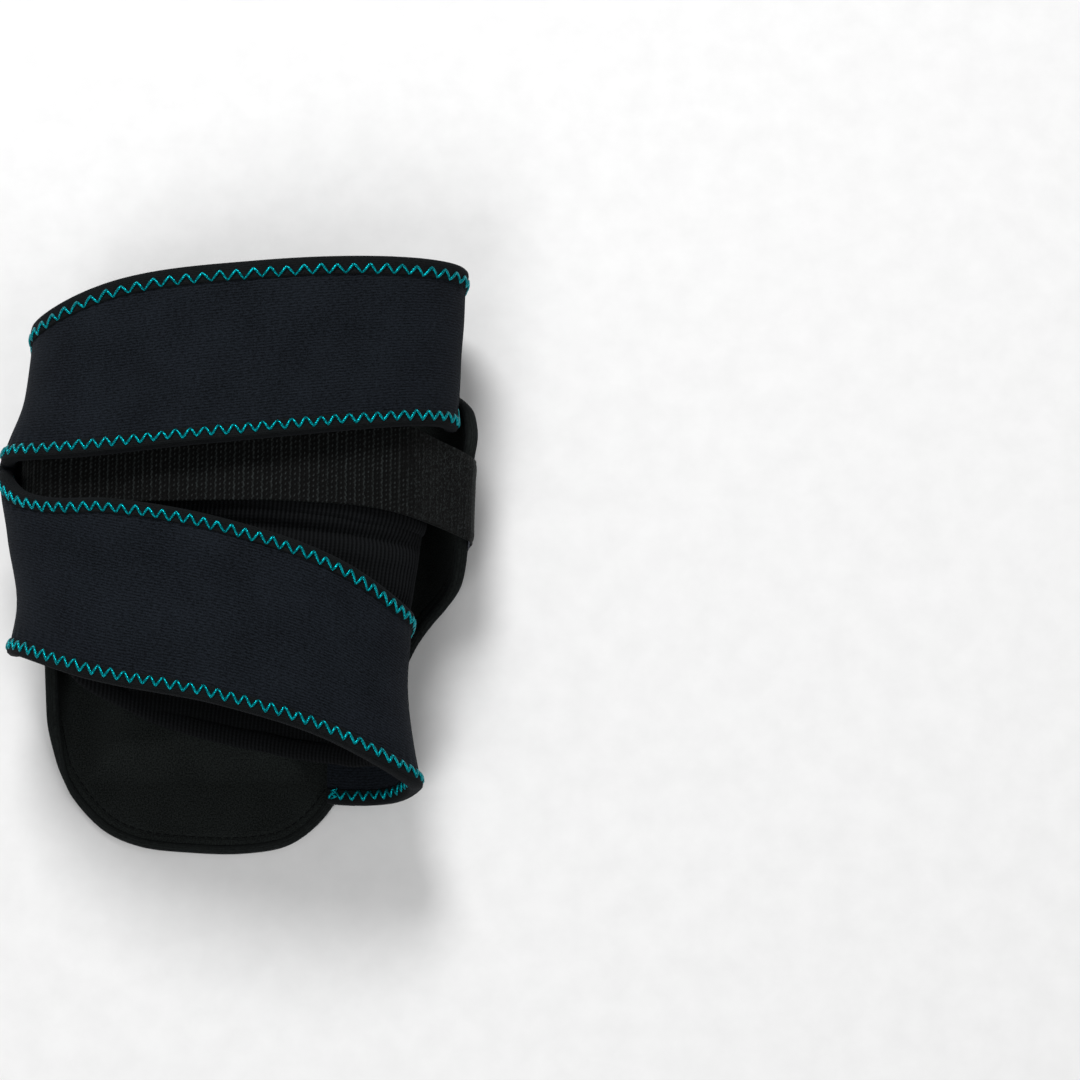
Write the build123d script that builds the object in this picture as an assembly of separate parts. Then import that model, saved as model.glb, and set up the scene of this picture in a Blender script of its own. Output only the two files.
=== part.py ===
"""Cold compression wrap, lying on its back: a padded shell with a cold pack, a knit sleeve, an elastic band
and a neoprene panel that comes round the front of the limb in two slanted arms.

X runs across the limb, Y along it and Z up from the surface that the pad lies on. Millimetres.
"""

from build123d import *
import os

# Whole wrap
HALF_LENGTH = 100.0      # half of the pad's length along the limb
REACH = 10.0             # how far cutting prisms run past the wrap

# Pad: its section is a floor with an upright left wall and a rounded right lobe
LEFT_WALL_X = -69.0      # outer face of the left wall
LEFT_WALL_TOP = 20.0
LEFT_BEND = 8.0          # outer radius between floor and left wall
LOBE_BEND = 30.0         # outer radius of the right lobe, which ends level with the bend's centre
LOBE_BEND_X = 48.4       # centre of that bend
SHELL_THICKNESS = 2.0
LINING_THICKNESS = 1.6
EDGE_THICKNESS = SHELL_THICKNESS + LINING_THICKNESS
PAD_BINDING_WIDTH = 3.0
HEM_INSET = 6.0          # hem line, from the pad's edge
HEM_WIDTH = 1.0
HEM_HEIGHT = 0.3
# Corners of the pad's outline in plan, with the radius of each
PAD_CORNERS = [(-69, 100), (-69, -100), (12, -100), (32, -81), (56, -29), (75, -11), (81, 60), (58, 69), (58, 100)]
PAD_RADII = [30, 44, 16, 8, 10, 20, 16, 8, 14]
# Height of the pad's rim, as (place along the limb, height)
PAD_RIM = [(-110, 7), (-62, 9), (-30, 32), (110, 32)]

# Pocket inside the pad, from the shell up
FOAM_THICKNESS = 3.5
GEL_THICKNESS = 5.0
LAYER_GAP = 0.3          # clearance of the cold pack above and below
POCKET_WALL = 3.0        # width of lining round the pocket
POCKET_LEFT = -47.0
POCKET_RIGHT = 39.0
POCKET_LOW = -66.0
POCKET_CORNER = (16.0, -12.0)    # the lower right corner is cut off from this x to this y
MOUTH_Y = 97.0           # where the lining ends at the pocket mouth
STRIP_THICKNESS = 0.8
STRIP_SPAN = (-40.0, 34.0)
STRIP_LOW = MOUTH_Y - 9
STRIP_HIGH = MOUTH_Y - 1
FOAM_TOP = SHELL_THICKNESS + FOAM_THICKNESS
GEL_LOW = FOAM_TOP + LAYER_GAP
GEL_HIGH = GEL_LOW + GEL_THICKNESS
POCKET_TOP = GEL_HIGH + LAYER_GAP
LINING_TOP = POCKET_TOP + LINING_THICKNESS
FILM = 0.6               # film of the gel pouch
GEL_CELLS = 3
WELD_WIDTH = 6.0         # welded seam between two gel cells
GEL_PACK_LOW = -63.0     # ends of the cold pack along the limb
GEL_PACK_HIGH = 84.0

# Neoprene arms
ARM_THICKNESS = 4.0
FOLD_HEIGHT = 37.0       # height of the side folds, and of the bands' centre
ARM_RISE = 35.0          # from the fold up to the crown
LEFT_FOLD_X = -79.5
UPPER_FOLD_X = 75.0
LOWER_FOLD_X = 62.5
FOLD_GAP = 0.5           # each side of the fold line, between the swinging and the sewn part
ROOT_RADIUS = 33.4       # outer face of the sewn part, from the fold down to the pad
BINDING_WIDTH = 3.0
BINDING_PROUD = 0.3      # how far a binding stands out of the panel's faces
STITCH_INSET = 0.6       # from the binding to the zigzag
STITCH_WIDTH = 2.7
STITCH_PROUD = 0.4
UPPER_ROOT = (46.0, 99.0)     # from and to, along the limb
LOWER_ROOT = (-79.0, -29.0)

# Long edges of the two arms in plan
UPPER_TOP = [(-84, 70), (-46, 85.5), (8, 92.5), (80, 99.5)]
UPPER_LOW = [(-84, 30), (-44, 31), (6, 33), (56, 40), (80, 46)]
LOWER_TOP = [(-84, 24), (-65, 12), (-33, 7.5), (7, -1), (40, -14.5), (66, -29)]
LOWER_LOW = [(-84, -31), (-55, -40.5), (-6, -52.5), (43, -67.5), (66, -78)]

# Stem, which joins the arms at the left, and the tab that closes it on the pad
STEM_LOW = 20.0
STEM_END_X = -74.9       # outer face at the stem's lower end
STEM_TOP_SPAN = (-31.0, 73.0)
STEM_LOW_SPAN = (-11.0, 51.0)
CUSP_SPAN = (17.0, 33.0)
CUSP_DEPTH = 3.0
CUSP_PROUD = 2.0         # how far the folded binding stands out at the end of the slit
PATCH_THICKNESS = 0.8
PATCH_GAP = 0.3          # between a hook patch and the loop patch that it closes on
TAB_THICKNESS = 3.0
TAB_LOW = 4.0
TAB_SPAN = (-8.0, 48.0)
TAB_CORNER = 6.0

# Knit sleeve: an oval at its top end and one at its bottom end
KNIT_THICKNESS = 1.6
SLEEVE_TOP_Y = 24.0
SLEEVE_LOW_Y = -80.0
SLEEVE_TOP_OVAL = (-1.4, 37.8, 65.6, 22.2)   # centre x, centre z, half width, half height
SLEEVE_LOW_OVAL = (-9.5, 36.6, 59.5, 21.6)
SLEEVE_TOP_EDGE = [(-75, 20.0), (0, 14.5), (40, 10.0), (75, 8.0)]
SLEEVE_LOW_EDGE = [(-75, -51.0), (0, -65.0), (60, -77.0)]     # at the height of the pad's lining
SLEEVE_LEAN = 0.55       # how far the lower edge draws back along the limb, for each mm of height
HEM_BAND = 4.0           # width of a rolled hem
HEM_PROUD = 0.7

# Elastic band
ELASTIC_THICKNESS = 1.6
ELASTIC_OVAL = (-1.0, 38.0, 69.0, 25.0)       # same order as the sleeve's ovals
ELASTIC_ANCHOR_X = -25.0 # where it is sewn down on the lining
ELASTIC_RAMP_X = 62.0    # where it leaves the oval towards the lobe
ELASTIC_TOP_EDGE = [(-84, 41), (50, 43), (90, 30)]
ELASTIC_LOW_EDGE = [(-84, 15), (50, 12), (90, 1)]
# Ramp from the oval out over the lobe's rim and down outside it, as (x, z) on its outer and its inner face
RAMP_OUTER = [(78.5, 35.5), (81.5, 31.5), (81.5, 30.2)]
RAMP_INNER = [(79.9, 30.2), (79.9, 31), (77.4, 34.2)]
LOBE_PATCH = 0.6         # thickness of the hook and loop patches on the lobe
ELASTIC_TAB_SPAN = (13.0, 29.7)    # from and to, in height


def along_limb(section, low=-HALF_LENGTH - REACH, high=HALF_LENGTH + REACH):
    """Solid of a section drawn in XZ, from low to high along the limb."""
    return extrude(Plane.XZ.offset(-high) * section, amount=high - low)


def upright(plan, low=-REACH, high=HALF_LENGTH):
    """Solid of a shape drawn in plan, from low to high."""
    return extrude(Plane.XY.offset(low) * plan, amount=high - low)


def across_limb(profile, low, high):
    """Solid of a shape drawn in YZ, from low to high across the limb."""
    return extrude(Plane.YZ.offset(low) * profile, amount=high - low)


def block(x_span, y_span, z_span):
    """Rectangular solid between pairs of coordinates."""
    sizes = [span[1] - span[0] for span in (x_span, y_span, z_span)]
    return Pos(x_span[0], y_span[0], z_span[0]) * Box(*sizes, align=(Align.MIN, Align.MIN, Align.MIN))


def rounded_plan(points, radii):
    """Closed outline in plan with a radius at each corner."""
    return make_face(FilletPolyline(*points, radius=radii, close=True).edges())


def strip_plan(low_edge, low_shift, high_edge, high_shift):
    """Plan of a strip between two long edges, each shifted along the limb."""
    low = [(x, y + low_shift) for x, y in low_edge]
    high = [(x, y + high_shift) for x, y in high_edge]
    ends = [Line(low[0], high[0]), Line(low[-1], high[-1])]
    return make_face([Spline(*low), Spline(*high), *ends])


# Pad

def pad_layer(lift, thickness):
    """Solid of one pad layer, whose underside is lift above the pad's underside."""
    def face_line(height):
        left = LEFT_WALL_X + height
        bend_x = LEFT_WALL_X + LEFT_BEND
        return [
            Line((left, LEFT_WALL_TOP), (left, LEFT_BEND)),
            CenterArc((bend_x, LEFT_BEND), LEFT_BEND - height, 180, 90),
            Line((bend_x, height), (LOBE_BEND_X, height)),
            CenterArc((LOBE_BEND_X, LOBE_BEND), LOBE_BEND - height, 270, 90),
        ]

    top = lift + thickness
    lobe_x = LOBE_BEND_X + LOBE_BEND
    ends = [
        Line((LEFT_WALL_X + lift, LEFT_WALL_TOP), (LEFT_WALL_X + top, LEFT_WALL_TOP)),
        Line((lobe_x - lift, LOBE_BEND), (lobe_x - top, LOBE_BEND)),
    ]
    return along_limb(make_face([*face_line(lift), *face_line(top), *ends]))


def pad_plan():
    """Outline of the pad: a lobe at the bottom and one at the right."""
    return rounded_plan(PAD_CORNERS, PAD_RADII)


def pad_height_limit():
    """Room under the pad's rim, which drops towards the bottom lobe."""
    low, high = PAD_RIM[0][0], PAD_RIM[-1][0]
    profile = Polyline((low, -REACH), *PAD_RIM, (high, -REACH), close=True)
    return across_limb(make_face(profile.edges()), -100, 100)


def pad_outline_solid(inset=0.0):
    """Upright solid inside the pad's outline."""
    plan = offset(pad_plan(), amount=-inset) if inset else pad_plan()
    return upright(plan) & pad_height_limit()


def pocket_plan(margin, top):
    """Plan of the pocket, whose lower right corner is cut off, grown by a margin."""
    left, right, low = POCKET_LEFT - margin, POCKET_RIGHT + margin, POCKET_LOW - margin
    corner_x, corner_y = POCKET_CORNER
    points = [
        (left, top), (left, low), (corner_x + 0.7 * margin, low), (right, corner_y - 0.3 * margin), (right, top),
    ]
    return make_face(Polyline(*points, close=True).edges())


def pad_outer_shell():
    return pad_layer(0, SHELL_THICKNESS) & pad_outline_solid(PAD_BINDING_WIDTH)


def pad_edge_binding():
    ring = pad_outline_solid() - pad_outline_solid(PAD_BINDING_WIDTH)
    return pad_layer(0, EDGE_THICKNESS) & ring


def pad_insulation_foam():
    foam = upright(pocket_plan(-0.5, STRIP_LOW), SHELL_THICKNESS, FOAM_TOP)
    return foam & pad_outline_solid(PAD_BINDING_WIDTH)


def pad_lining():
    flange = pad_layer(SHELL_THICKNESS, LINING_THICKNESS) & pad_outline_solid(PAD_BINDING_WIDTH)
    raised = upright(pocket_plan(POCKET_WALL, MOUTH_Y), SHELL_THICKNESS, LINING_TOP)
    raised = raised & upright(offset(pad_plan(), amount=-PAD_BINDING_WIDTH))
    pocket = upright(pocket_plan(0, HALF_LENGTH + REACH), 0, POCKET_TOP)
    strip = block(STRIP_SPAN, (STRIP_LOW, STRIP_HIGH), (POCKET_TOP, POCKET_TOP + STRIP_THICKNESS))
    return (flange + raised) - pocket - strip


def pocket_strip(low, thickness):
    """One strip of the closure at the pocket mouth."""
    return block(STRIP_SPAN, (STRIP_LOW + 0.2, STRIP_HIGH), (low, low + thickness))


def pocket_mouth_binding():
    across = (POCKET_LEFT - POCKET_WALL, POCKET_RIGHT + POCKET_WALL)
    return block(across, (MOUTH_Y, HALF_LENGTH), (POCKET_TOP, LINING_TOP + BINDING_PROUD))


def pad_hem_stitch():
    """Hem line on the lining, where nothing is sewn over it."""
    ring = pad_outline_solid(HEM_INSET) - pad_outline_solid(HEM_INSET + HEM_WIDTH)
    line = pad_layer(EDGE_THICKNESS, HEM_HEIGHT) & ring
    covered = upright(pocket_plan(POCKET_WALL, HALF_LENGTH))
    for arm in ("upper", "lower"):
        covered += root_solid(arm, STITCH_PROUD)
    return line - covered


def side_loop_patch():
    """Loop patch on the outside of the left wall."""
    x_span = (LEFT_WALL_X - PATCH_THICKNESS, LEFT_WALL_X)
    return block(x_span, TAB_SPAN, (LEFT_BEND, LEFT_WALL_TOP - 2))


def on_lobe(lift, thickness, plan):
    """Solid of a layer outside the lobe, within a plan and the height of the elastic's tab."""
    heights = block((60, 90), (-50, 70), ELASTIC_TAB_SPAN)
    return pad_layer(lift, thickness) & upright(plan) & heights


def elastic_plan(margin=0.0):
    """Plan of the elastic band, with its edges moved out by a margin."""
    return strip_plan(ELASTIC_LOW_EDGE, -margin, ELASTIC_TOP_EDGE, margin)


# Cold pack

def gel_plan(margin):
    left, right = POCKET_LEFT + POCKET_WALL, POCKET_RIGHT - POCKET_WALL
    corner = [(14.5, GEL_PACK_LOW), (right, -12.5)]
    points = [(left, GEL_PACK_HIGH), (left, GEL_PACK_LOW), *corner, (right, GEL_PACK_HIGH)]
    outline = rounded_plan(points, [10, 10, 8, 8, 10])
    return offset(outline, amount=margin) if margin else outline


def gel_fill():
    """Gel in cells that lie one after another along the pouch."""
    full = upright(gel_plan(-WELD_WIDTH), GEL_LOW + FILM, GEL_HIGH - FILM)
    low, high = GEL_PACK_LOW + WELD_WIDTH, GEL_PACK_HIGH - WELD_WIDTH
    pitch = (high - low + WELD_WIDTH) / GEL_CELLS
    for cell in range(1, GEL_CELLS):
        weld = low + cell * pitch
        full -= block((-60, 60), (weld - WELD_WIDTH, weld), (0, LINING_TOP))
    return full


def gel_pouch():
    return upright(gel_plan(0), GEL_LOW, GEL_HIGH) - gel_fill()


# Sleeve

def sleeve_solid(grow):
    """Solid inside the sleeve's outer face, grown by grow."""
    def oval(numbers, y):
        x, z, half_width, half_height = numbers
        return Plane.XZ.offset(-y) * Pos(x, z) * Ellipse(half_width + grow, half_height + grow)

    return loft([oval(SLEEVE_TOP_OVAL, SLEEVE_TOP_Y), oval(SLEEVE_LOW_OVAL, SLEEVE_LOW_Y)])


def sleeve_wall(proud):
    """Wall of the sleeve, with proud added on both faces."""
    return sleeve_solid(proud) - sleeve_solid(-KNIT_THICKNESS - proud)


def leaning(low_shift, high_shift):
    """Solid between two copies of the sleeve's lower edge, which leans back with height."""
    plan = strip_plan(SLEEVE_LOW_EDGE, low_shift, SLEEVE_LOW_EDGE, high_shift)
    length = HALF_LENGTH * (1 + SLEEVE_LEAN**2) ** 0.5
    return extrude(Plane.XY.offset(LINING_TOP) * plan, amount=length, dir=(0, SLEEVE_LEAN, 1))


def knit_sleeve():
    below_top = strip_plan(SLEEVE_LOW_EDGE, -REACH, SLEEVE_TOP_EDGE, -HEM_BAND)
    return sleeve_wall(0) & upright(below_top) & leaning(HEM_BAND, 2 * HALF_LENGTH)


def sleeve_top_hem():
    plan = strip_plan(SLEEVE_TOP_EDGE, -HEM_BAND, SLEEVE_TOP_EDGE, 0)
    return sleeve_wall(HEM_PROUD) & upright(plan)


def sleeve_bottom_hem():
    return sleeve_wall(HEM_PROUD) & leaning(0, HEM_BAND)


def sleeve_seam():
    """Seam that holds the sleeve down on the lining."""
    bridge = block((-14, 6), (-54, 4), (LINING_TOP, LINING_TOP + 6))
    return bridge - sleeve_solid(0)


# Elastic band

def elastic_oval(grow):
    x, z, half_width, half_height = ELASTIC_OVAL
    return Pos(x, z) * Ellipse(half_width + grow, half_height + grow)


def elastic_ramp_height(grow):
    """Height of the oval where the band leaves it for the lobe."""
    x, z, half_width, half_height = ELASTIC_OVAL
    share = (ELASTIC_RAMP_X - x) / (half_width + grow)
    return z + (half_height + grow) * (1 - share**2) ** 0.5


def elastic_band():
    """Oval over the sleeve, from the anchor at the lower left to the ramp that leads out over the lobe."""
    centre_z = ELASTIC_OVAL[1]
    ring = elastic_oval(0) - elastic_oval(-ELASTIC_THICKNESS)
    ring -= Pos(ELASTIC_ANCHOR_X, centre_z) * Rectangle(200, 100, align=(Align.MIN, Align.MAX))
    ring -= Pos(ELASTIC_RAMP_X, 0) * Rectangle(100, 100, align=(Align.MIN, Align.MIN))
    outer = (ELASTIC_RAMP_X, elastic_ramp_height(0))
    inner = (ELASTIC_RAMP_X, elastic_ramp_height(-ELASTIC_THICKNESS))
    ramp = make_face(Polyline(outer, *RAMP_OUTER, *RAMP_INNER, inner, close=True).edges())
    return (along_limb(ring) + along_limb(ramp)) & upright(elastic_plan())


def elastic_anchor_seam():
    """Seam that holds the elastic's left end down on the lining."""
    bridge = block((-36, -25), (17, 41), (LINING_TOP, LINING_TOP + 6))
    return bridge - along_limb(elastic_oval(0))


# Neoprene panel

def arm_wall(fold_x, outer, inner):
    """Front half of an arm's wall: outer and inner are how far its faces lie out of the panel's outer face."""
    centre = (LEFT_FOLD_X + fold_x) / 2
    half_width = (fold_x - LEFT_FOLD_X) / 2
    oval = Pos(centre, FOLD_HEIGHT) * (
        Ellipse(half_width + outer, ARM_RISE + outer) - Ellipse(half_width + inner, ARM_RISE + inner)
    )
    above = Pos(0, FOLD_HEIGHT + FOLD_GAP) * Rectangle(300, 100, align=(Align.CENTER, Align.MIN))
    left_gap = Pos(-100, FOLD_HEIGHT) * Rectangle(100, 100, align=(Align.MIN, Align.MIN))
    return along_limb(oval & (above + left_gap))


def stem_wall(outer, inner):
    """Wall of the stem, which bends in from the left fold to its lower end."""
    def face_line(out):
        start = (LEFT_FOLD_X - out, FOLD_HEIGHT)
        return TangentArc(start, (STEM_END_X - out, STEM_LOW), tangent=(0, -1))

    high = Line((LEFT_FOLD_X - outer, FOLD_HEIGHT), (LEFT_FOLD_X - inner, FOLD_HEIGHT))
    low = Line((STEM_END_X - outer, STEM_LOW), (STEM_END_X - inner, STEM_LOW))
    return along_limb(make_face([face_line(outer), face_line(inner), high, low]))


def stem_strip(start_low, start_high, end_low, end_high):
    """Upright cut of the stem between two slanted edges."""
    points = [(start_low, FOLD_HEIGHT), (start_high, FOLD_HEIGHT), (end_high, STEM_LOW), (end_low, STEM_LOW)]
    return across_limb(make_face(Polyline(*points, close=True).edges()), -100, -50)


def cusp_cut():
    """Space of the binding that turns round the end of the slit."""
    return block((-100, -50), CUSP_SPAN, (FOLD_HEIGHT - CUSP_DEPTH, FOLD_HEIGHT))


def panel_faces(proud=0.0):
    """Where a layer's outer and inner faces lie, out of the panel's outer face."""
    return proud, -ARM_THICKNESS - proud


def upper_arm_panel():
    plan = strip_plan(UPPER_LOW, BINDING_WIDTH, UPPER_TOP, -BINDING_WIDTH)
    return arm_wall(UPPER_FOLD_X, *panel_faces()) & upright(plan)


def lower_arm_panel():
    plan = strip_plan(LOWER_LOW, BINDING_WIDTH, LOWER_TOP, -BINDING_WIDTH)
    return arm_wall(LOWER_FOLD_X, *panel_faces()) & upright(plan)


def stem_panel():
    low, high = STEM_TOP_SPAN
    end_low, end_high = STEM_LOW_SPAN
    inside = stem_strip(low + BINDING_WIDTH, high - BINDING_WIDTH, end_low + BINDING_WIDTH, end_high - BINDING_WIDTH)
    return (stem_wall(*panel_faces()) & inside) - cusp_cut()


def edge_strip(fold_x, edge, low_shift, high_shift, outer, inner):
    """Strip of an arm's wall that follows one of its long edges."""
    return arm_wall(fold_x, outer, inner) & upright(strip_plan(edge, low_shift, edge, high_shift))


def upper_top_binding():
    faces = panel_faces(BINDING_PROUD)
    high, end_high = STEM_TOP_SPAN[1], STEM_LOW_SPAN[1]
    front = edge_strip(UPPER_FOLD_X, UPPER_TOP, -BINDING_WIDTH, 0, *faces)
    stem = stem_wall(*faces) & stem_strip(high - BINDING_WIDTH, high, end_high - BINDING_WIDTH, end_high)
    return front + stem


def lower_bottom_binding():
    faces = panel_faces(BINDING_PROUD)
    low, end_low = STEM_TOP_SPAN[0], STEM_LOW_SPAN[0]
    front = edge_strip(LOWER_FOLD_X, LOWER_LOW, 0, BINDING_WIDTH, *faces)
    stem = stem_wall(*faces) & stem_strip(low, low + BINDING_WIDTH, end_low, end_low + BINDING_WIDTH)
    return front + stem


def slit_binding():
    """Binding along both sides of the slit and round its left end."""
    faces = panel_faces(BINDING_PROUD)
    upper = edge_strip(UPPER_FOLD_X, UPPER_LOW, 0, BINDING_WIDTH, *faces)
    lower = edge_strip(LOWER_FOLD_X, LOWER_TOP, -BINDING_WIDTH, 0, *faces)
    turn = stem_wall(CUSP_PROUD, -ARM_THICKNESS) & cusp_cut()
    return upper + lower + turn


def edge_stitch(fold_x, edge, side):
    """Zigzag band beside a binding; side is 1 when the arm lies above the edge and -1 below it."""
    near = side * (BINDING_WIDTH + STITCH_INSET)
    far = near + side * STITCH_WIDTH
    return edge_strip(fold_x, edge, min(near, far), max(near, far), STITCH_PROUD, 0)


def root_solid(arm, proud, outer_only=False):
    """Sewn part of an arm, from the side fold down to the pad."""
    fold_x = UPPER_FOLD_X if arm == "upper" else LOWER_FOLD_X
    centre = Pos(fold_x - ROOT_RADIUS, FOLD_HEIGHT)
    inner = 0 if outer_only else -ARM_THICKNESS - proud
    ring = centre * (Circle(ROOT_RADIUS + proud) - Circle(ROOT_RADIUS + inner))
    quarter = Pos(fold_x - ROOT_RADIUS, FOLD_HEIGHT - FOLD_GAP) * Rectangle(100, 100, align=(Align.MIN, Align.MAX))
    wall = along_limb(ring & quarter)
    below_pad = along_limb(Pos(0, -REACH) * Rectangle(300, REACH, align=(Align.CENTER, Align.MIN)))
    low, high = UPPER_ROOT if arm == "upper" else LOWER_ROOT
    wall = wall & block((0, 100), (low, high), (0, FOLD_HEIGHT))
    return wall - pad_layer(-2, EDGE_THICKNESS + 2) - below_pad - foot_cut()


def foot_cut():
    """Space left of the line where the roots end, beside the pocket."""
    points = [(0, -110), (20, -78), (45, -14), (43, 110), (0, 110)]
    return upright(make_face(Polyline(*points, close=True).edges()))


def root_strip(arm, low, high, proud, outer_only=False):
    """Part of an arm's root between two places along the limb."""
    return root_solid(arm, proud, outer_only) & block((0, 100), (low, high), (0, FOLD_HEIGHT))


def root_panel(arm, span):
    return root_strip(arm, span[0] + BINDING_WIDTH, span[1] - BINDING_WIDTH, 0)


def root_bindings(arm, span):
    low = root_strip(arm, span[0], span[0] + BINDING_WIDTH, BINDING_PROUD)
    high = root_strip(arm, span[1] - BINDING_WIDTH, span[1], BINDING_PROUD)
    return Compound([*low.solids(), *high.solids()])


def root_stitches(arm, span):
    near = BINDING_WIDTH + STITCH_INSET
    low = root_strip(arm, span[0] + near, span[0] + near + STITCH_WIDTH, STITCH_PROUD, True)
    high = root_strip(arm, span[1] - near - STITCH_WIDTH, span[1] - near, STITCH_PROUD, True)
    return Compound([*low.solids(), *high.solids()])


def root_bartack(arm, span):
    """Dense stitching across the root's foot, on its inner face."""
    fold_x = UPPER_FOLD_X if arm == "upper" else LOWER_FOLD_X
    foot_x = fold_x - ROOT_RADIUS
    inner = ROOT_RADIUS - ARM_THICKNESS
    ring = Pos(foot_x, FOLD_HEIGHT) * (Circle(inner) - Circle(inner - STITCH_PROUD))
    low, high = span[0] + 2 * BINDING_WIDTH, span[1] - 2 * BINDING_WIDTH
    return (along_limb(ring) & block((foot_x, foot_x + 6), (low, high), (0, 15))) - foot_cut()


# Closure tab

def closure_tab_panel():
    inner_x = LEFT_WALL_X - 2 * PATCH_THICKNESS - PATCH_GAP
    low, high = TAB_SPAN
    profile = Polyline(
        (low, STEM_LOW - FOLD_GAP), (high, STEM_LOW - FOLD_GAP), (high, TAB_LOW + TAB_CORNER),
        (high - TAB_CORNER, TAB_LOW), (low + TAB_CORNER, TAB_LOW), (low, TAB_LOW + TAB_CORNER), close=True,
    )
    return across_limb(make_face(profile.edges()), inner_x - TAB_THICKNESS, inner_x)


def closure_hook_patch():
    outer_x = LEFT_WALL_X - 2 * PATCH_THICKNESS - PATCH_GAP
    span = (TAB_SPAN[0] + TAB_CORNER, TAB_SPAN[1] - TAB_CORNER)
    return block((outer_x, outer_x + PATCH_THICKNESS), span, (TAB_LOW + 1, LEFT_WALL_TOP - 2))


def closure_tab_stitch():
    """Line of stitching round the tab, on its outer face."""
    outer_x = LEFT_WALL_X - 2 * PATCH_THICKNESS - PATCH_GAP - TAB_THICKNESS
    low, high = TAB_SPAN
    outer = block((outer_x - STITCH_PROUD, outer_x), (low + 7, high - 7), (TAB_LOW + 2, STEM_LOW - 3))
    hole = block((outer_x - 1, outer_x), (low + 8, high - 8), (TAB_LOW + 3, STEM_LOW - 4))
    return outer - hole


def main():
    elastic_lift = -2 * LOBE_PATCH - PATCH_GAP
    parts = {
        "pad_outer_shell": pad_outer_shell(),
        "pad_insulation_foam": pad_insulation_foam(),
        "pad_lining": pad_lining(),
        "pad_edge_binding": pad_edge_binding(),
        "pad_hem_stitch": pad_hem_stitch(),
        "pocket_mouth_binding": pocket_mouth_binding(),
        "pocket_hook_strip": pocket_strip(SHELL_THICKNESS, STRIP_THICKNESS),
        "pocket_loop_strip": pocket_strip(POCKET_TOP, STRIP_THICKNESS),
        "side_loop_patch": side_loop_patch(),
        "lobe_loop_patch": on_lobe(-LOBE_PATCH, LOBE_PATCH, elastic_plan(-2)),
        "gel_pouch": gel_pouch(),
        "gel_fill": gel_fill(),
        "knit_sleeve": knit_sleeve(),
        "sleeve_top_hem": sleeve_top_hem(),
        "sleeve_bottom_hem": sleeve_bottom_hem(),
        "sleeve_seam": sleeve_seam(),
        "elastic_band": elastic_band(),
        "elastic_anchor_seam": elastic_anchor_seam(),
        "elastic_tab_end": on_lobe(elastic_lift - ELASTIC_THICKNESS, ELASTIC_THICKNESS, elastic_plan()),
        "elastic_hook_patch": on_lobe(elastic_lift, LOBE_PATCH, elastic_plan(-3)),
        "upper_arm_panel": upper_arm_panel(),
        "lower_arm_panel": lower_arm_panel(),
        "stem_panel": stem_panel(),
        "upper_top_binding": upper_top_binding(),
        "slit_binding": slit_binding(),
        "lower_bottom_binding": lower_bottom_binding(),
        "upper_top_stitch": edge_stitch(UPPER_FOLD_X, UPPER_TOP, -1),
        "upper_slit_stitch": edge_stitch(UPPER_FOLD_X, UPPER_LOW, 1),
        "lower_slit_stitch": edge_stitch(LOWER_FOLD_X, LOWER_TOP, -1),
        "lower_bottom_stitch": edge_stitch(LOWER_FOLD_X, LOWER_LOW, 1),
        "closure_tab_panel": closure_tab_panel(),
        "closure_hook_patch": closure_hook_patch(),
        "closure_tab_stitch": closure_tab_stitch(),
    }
    for arm, span in (("upper", UPPER_ROOT), ("lower", LOWER_ROOT)):
        parts[arm + "_root_panel"] = root_panel(arm, span)
        parts[arm + "_root_bindings"] = root_bindings(arm, span)
        parts[arm + "_root_stitches"] = root_stitches(arm, span)
        parts[arm + "_root_bartack"] = root_bartack(arm, span)
    os.makedirs("parts", exist_ok=True)
    for name, shape in parts.items():
        export_step(shape, "parts/" + name + ".step")
    whole = Compound([shape for shape in parts.values()]).bounding_box()
    print("box", whole.min, whole.max)


main()
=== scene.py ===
"""Looks of the cold compression wrap: soft neoprene panel, knit sleeve and elastic, padded shell and cold pack.

Helper functions work in millimetres and meshes are made in metres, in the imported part's own frame.
"""
import math

import bpy
import bmesh
import numpy as np
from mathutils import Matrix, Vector


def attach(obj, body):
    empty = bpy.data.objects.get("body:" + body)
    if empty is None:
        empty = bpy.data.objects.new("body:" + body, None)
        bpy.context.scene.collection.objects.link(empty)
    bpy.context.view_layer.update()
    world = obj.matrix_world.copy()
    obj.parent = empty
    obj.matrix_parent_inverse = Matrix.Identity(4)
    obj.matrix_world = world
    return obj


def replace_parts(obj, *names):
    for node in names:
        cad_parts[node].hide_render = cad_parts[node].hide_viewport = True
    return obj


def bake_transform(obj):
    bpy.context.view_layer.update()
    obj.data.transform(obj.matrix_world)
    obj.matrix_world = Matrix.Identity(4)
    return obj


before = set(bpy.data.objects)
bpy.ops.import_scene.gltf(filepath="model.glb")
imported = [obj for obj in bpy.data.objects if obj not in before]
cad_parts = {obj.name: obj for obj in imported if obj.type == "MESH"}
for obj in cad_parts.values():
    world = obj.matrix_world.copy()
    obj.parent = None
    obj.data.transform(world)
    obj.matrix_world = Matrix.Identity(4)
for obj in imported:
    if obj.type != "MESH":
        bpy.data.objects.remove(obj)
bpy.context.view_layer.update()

MM = 0.001
UV = "weave"

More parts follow.
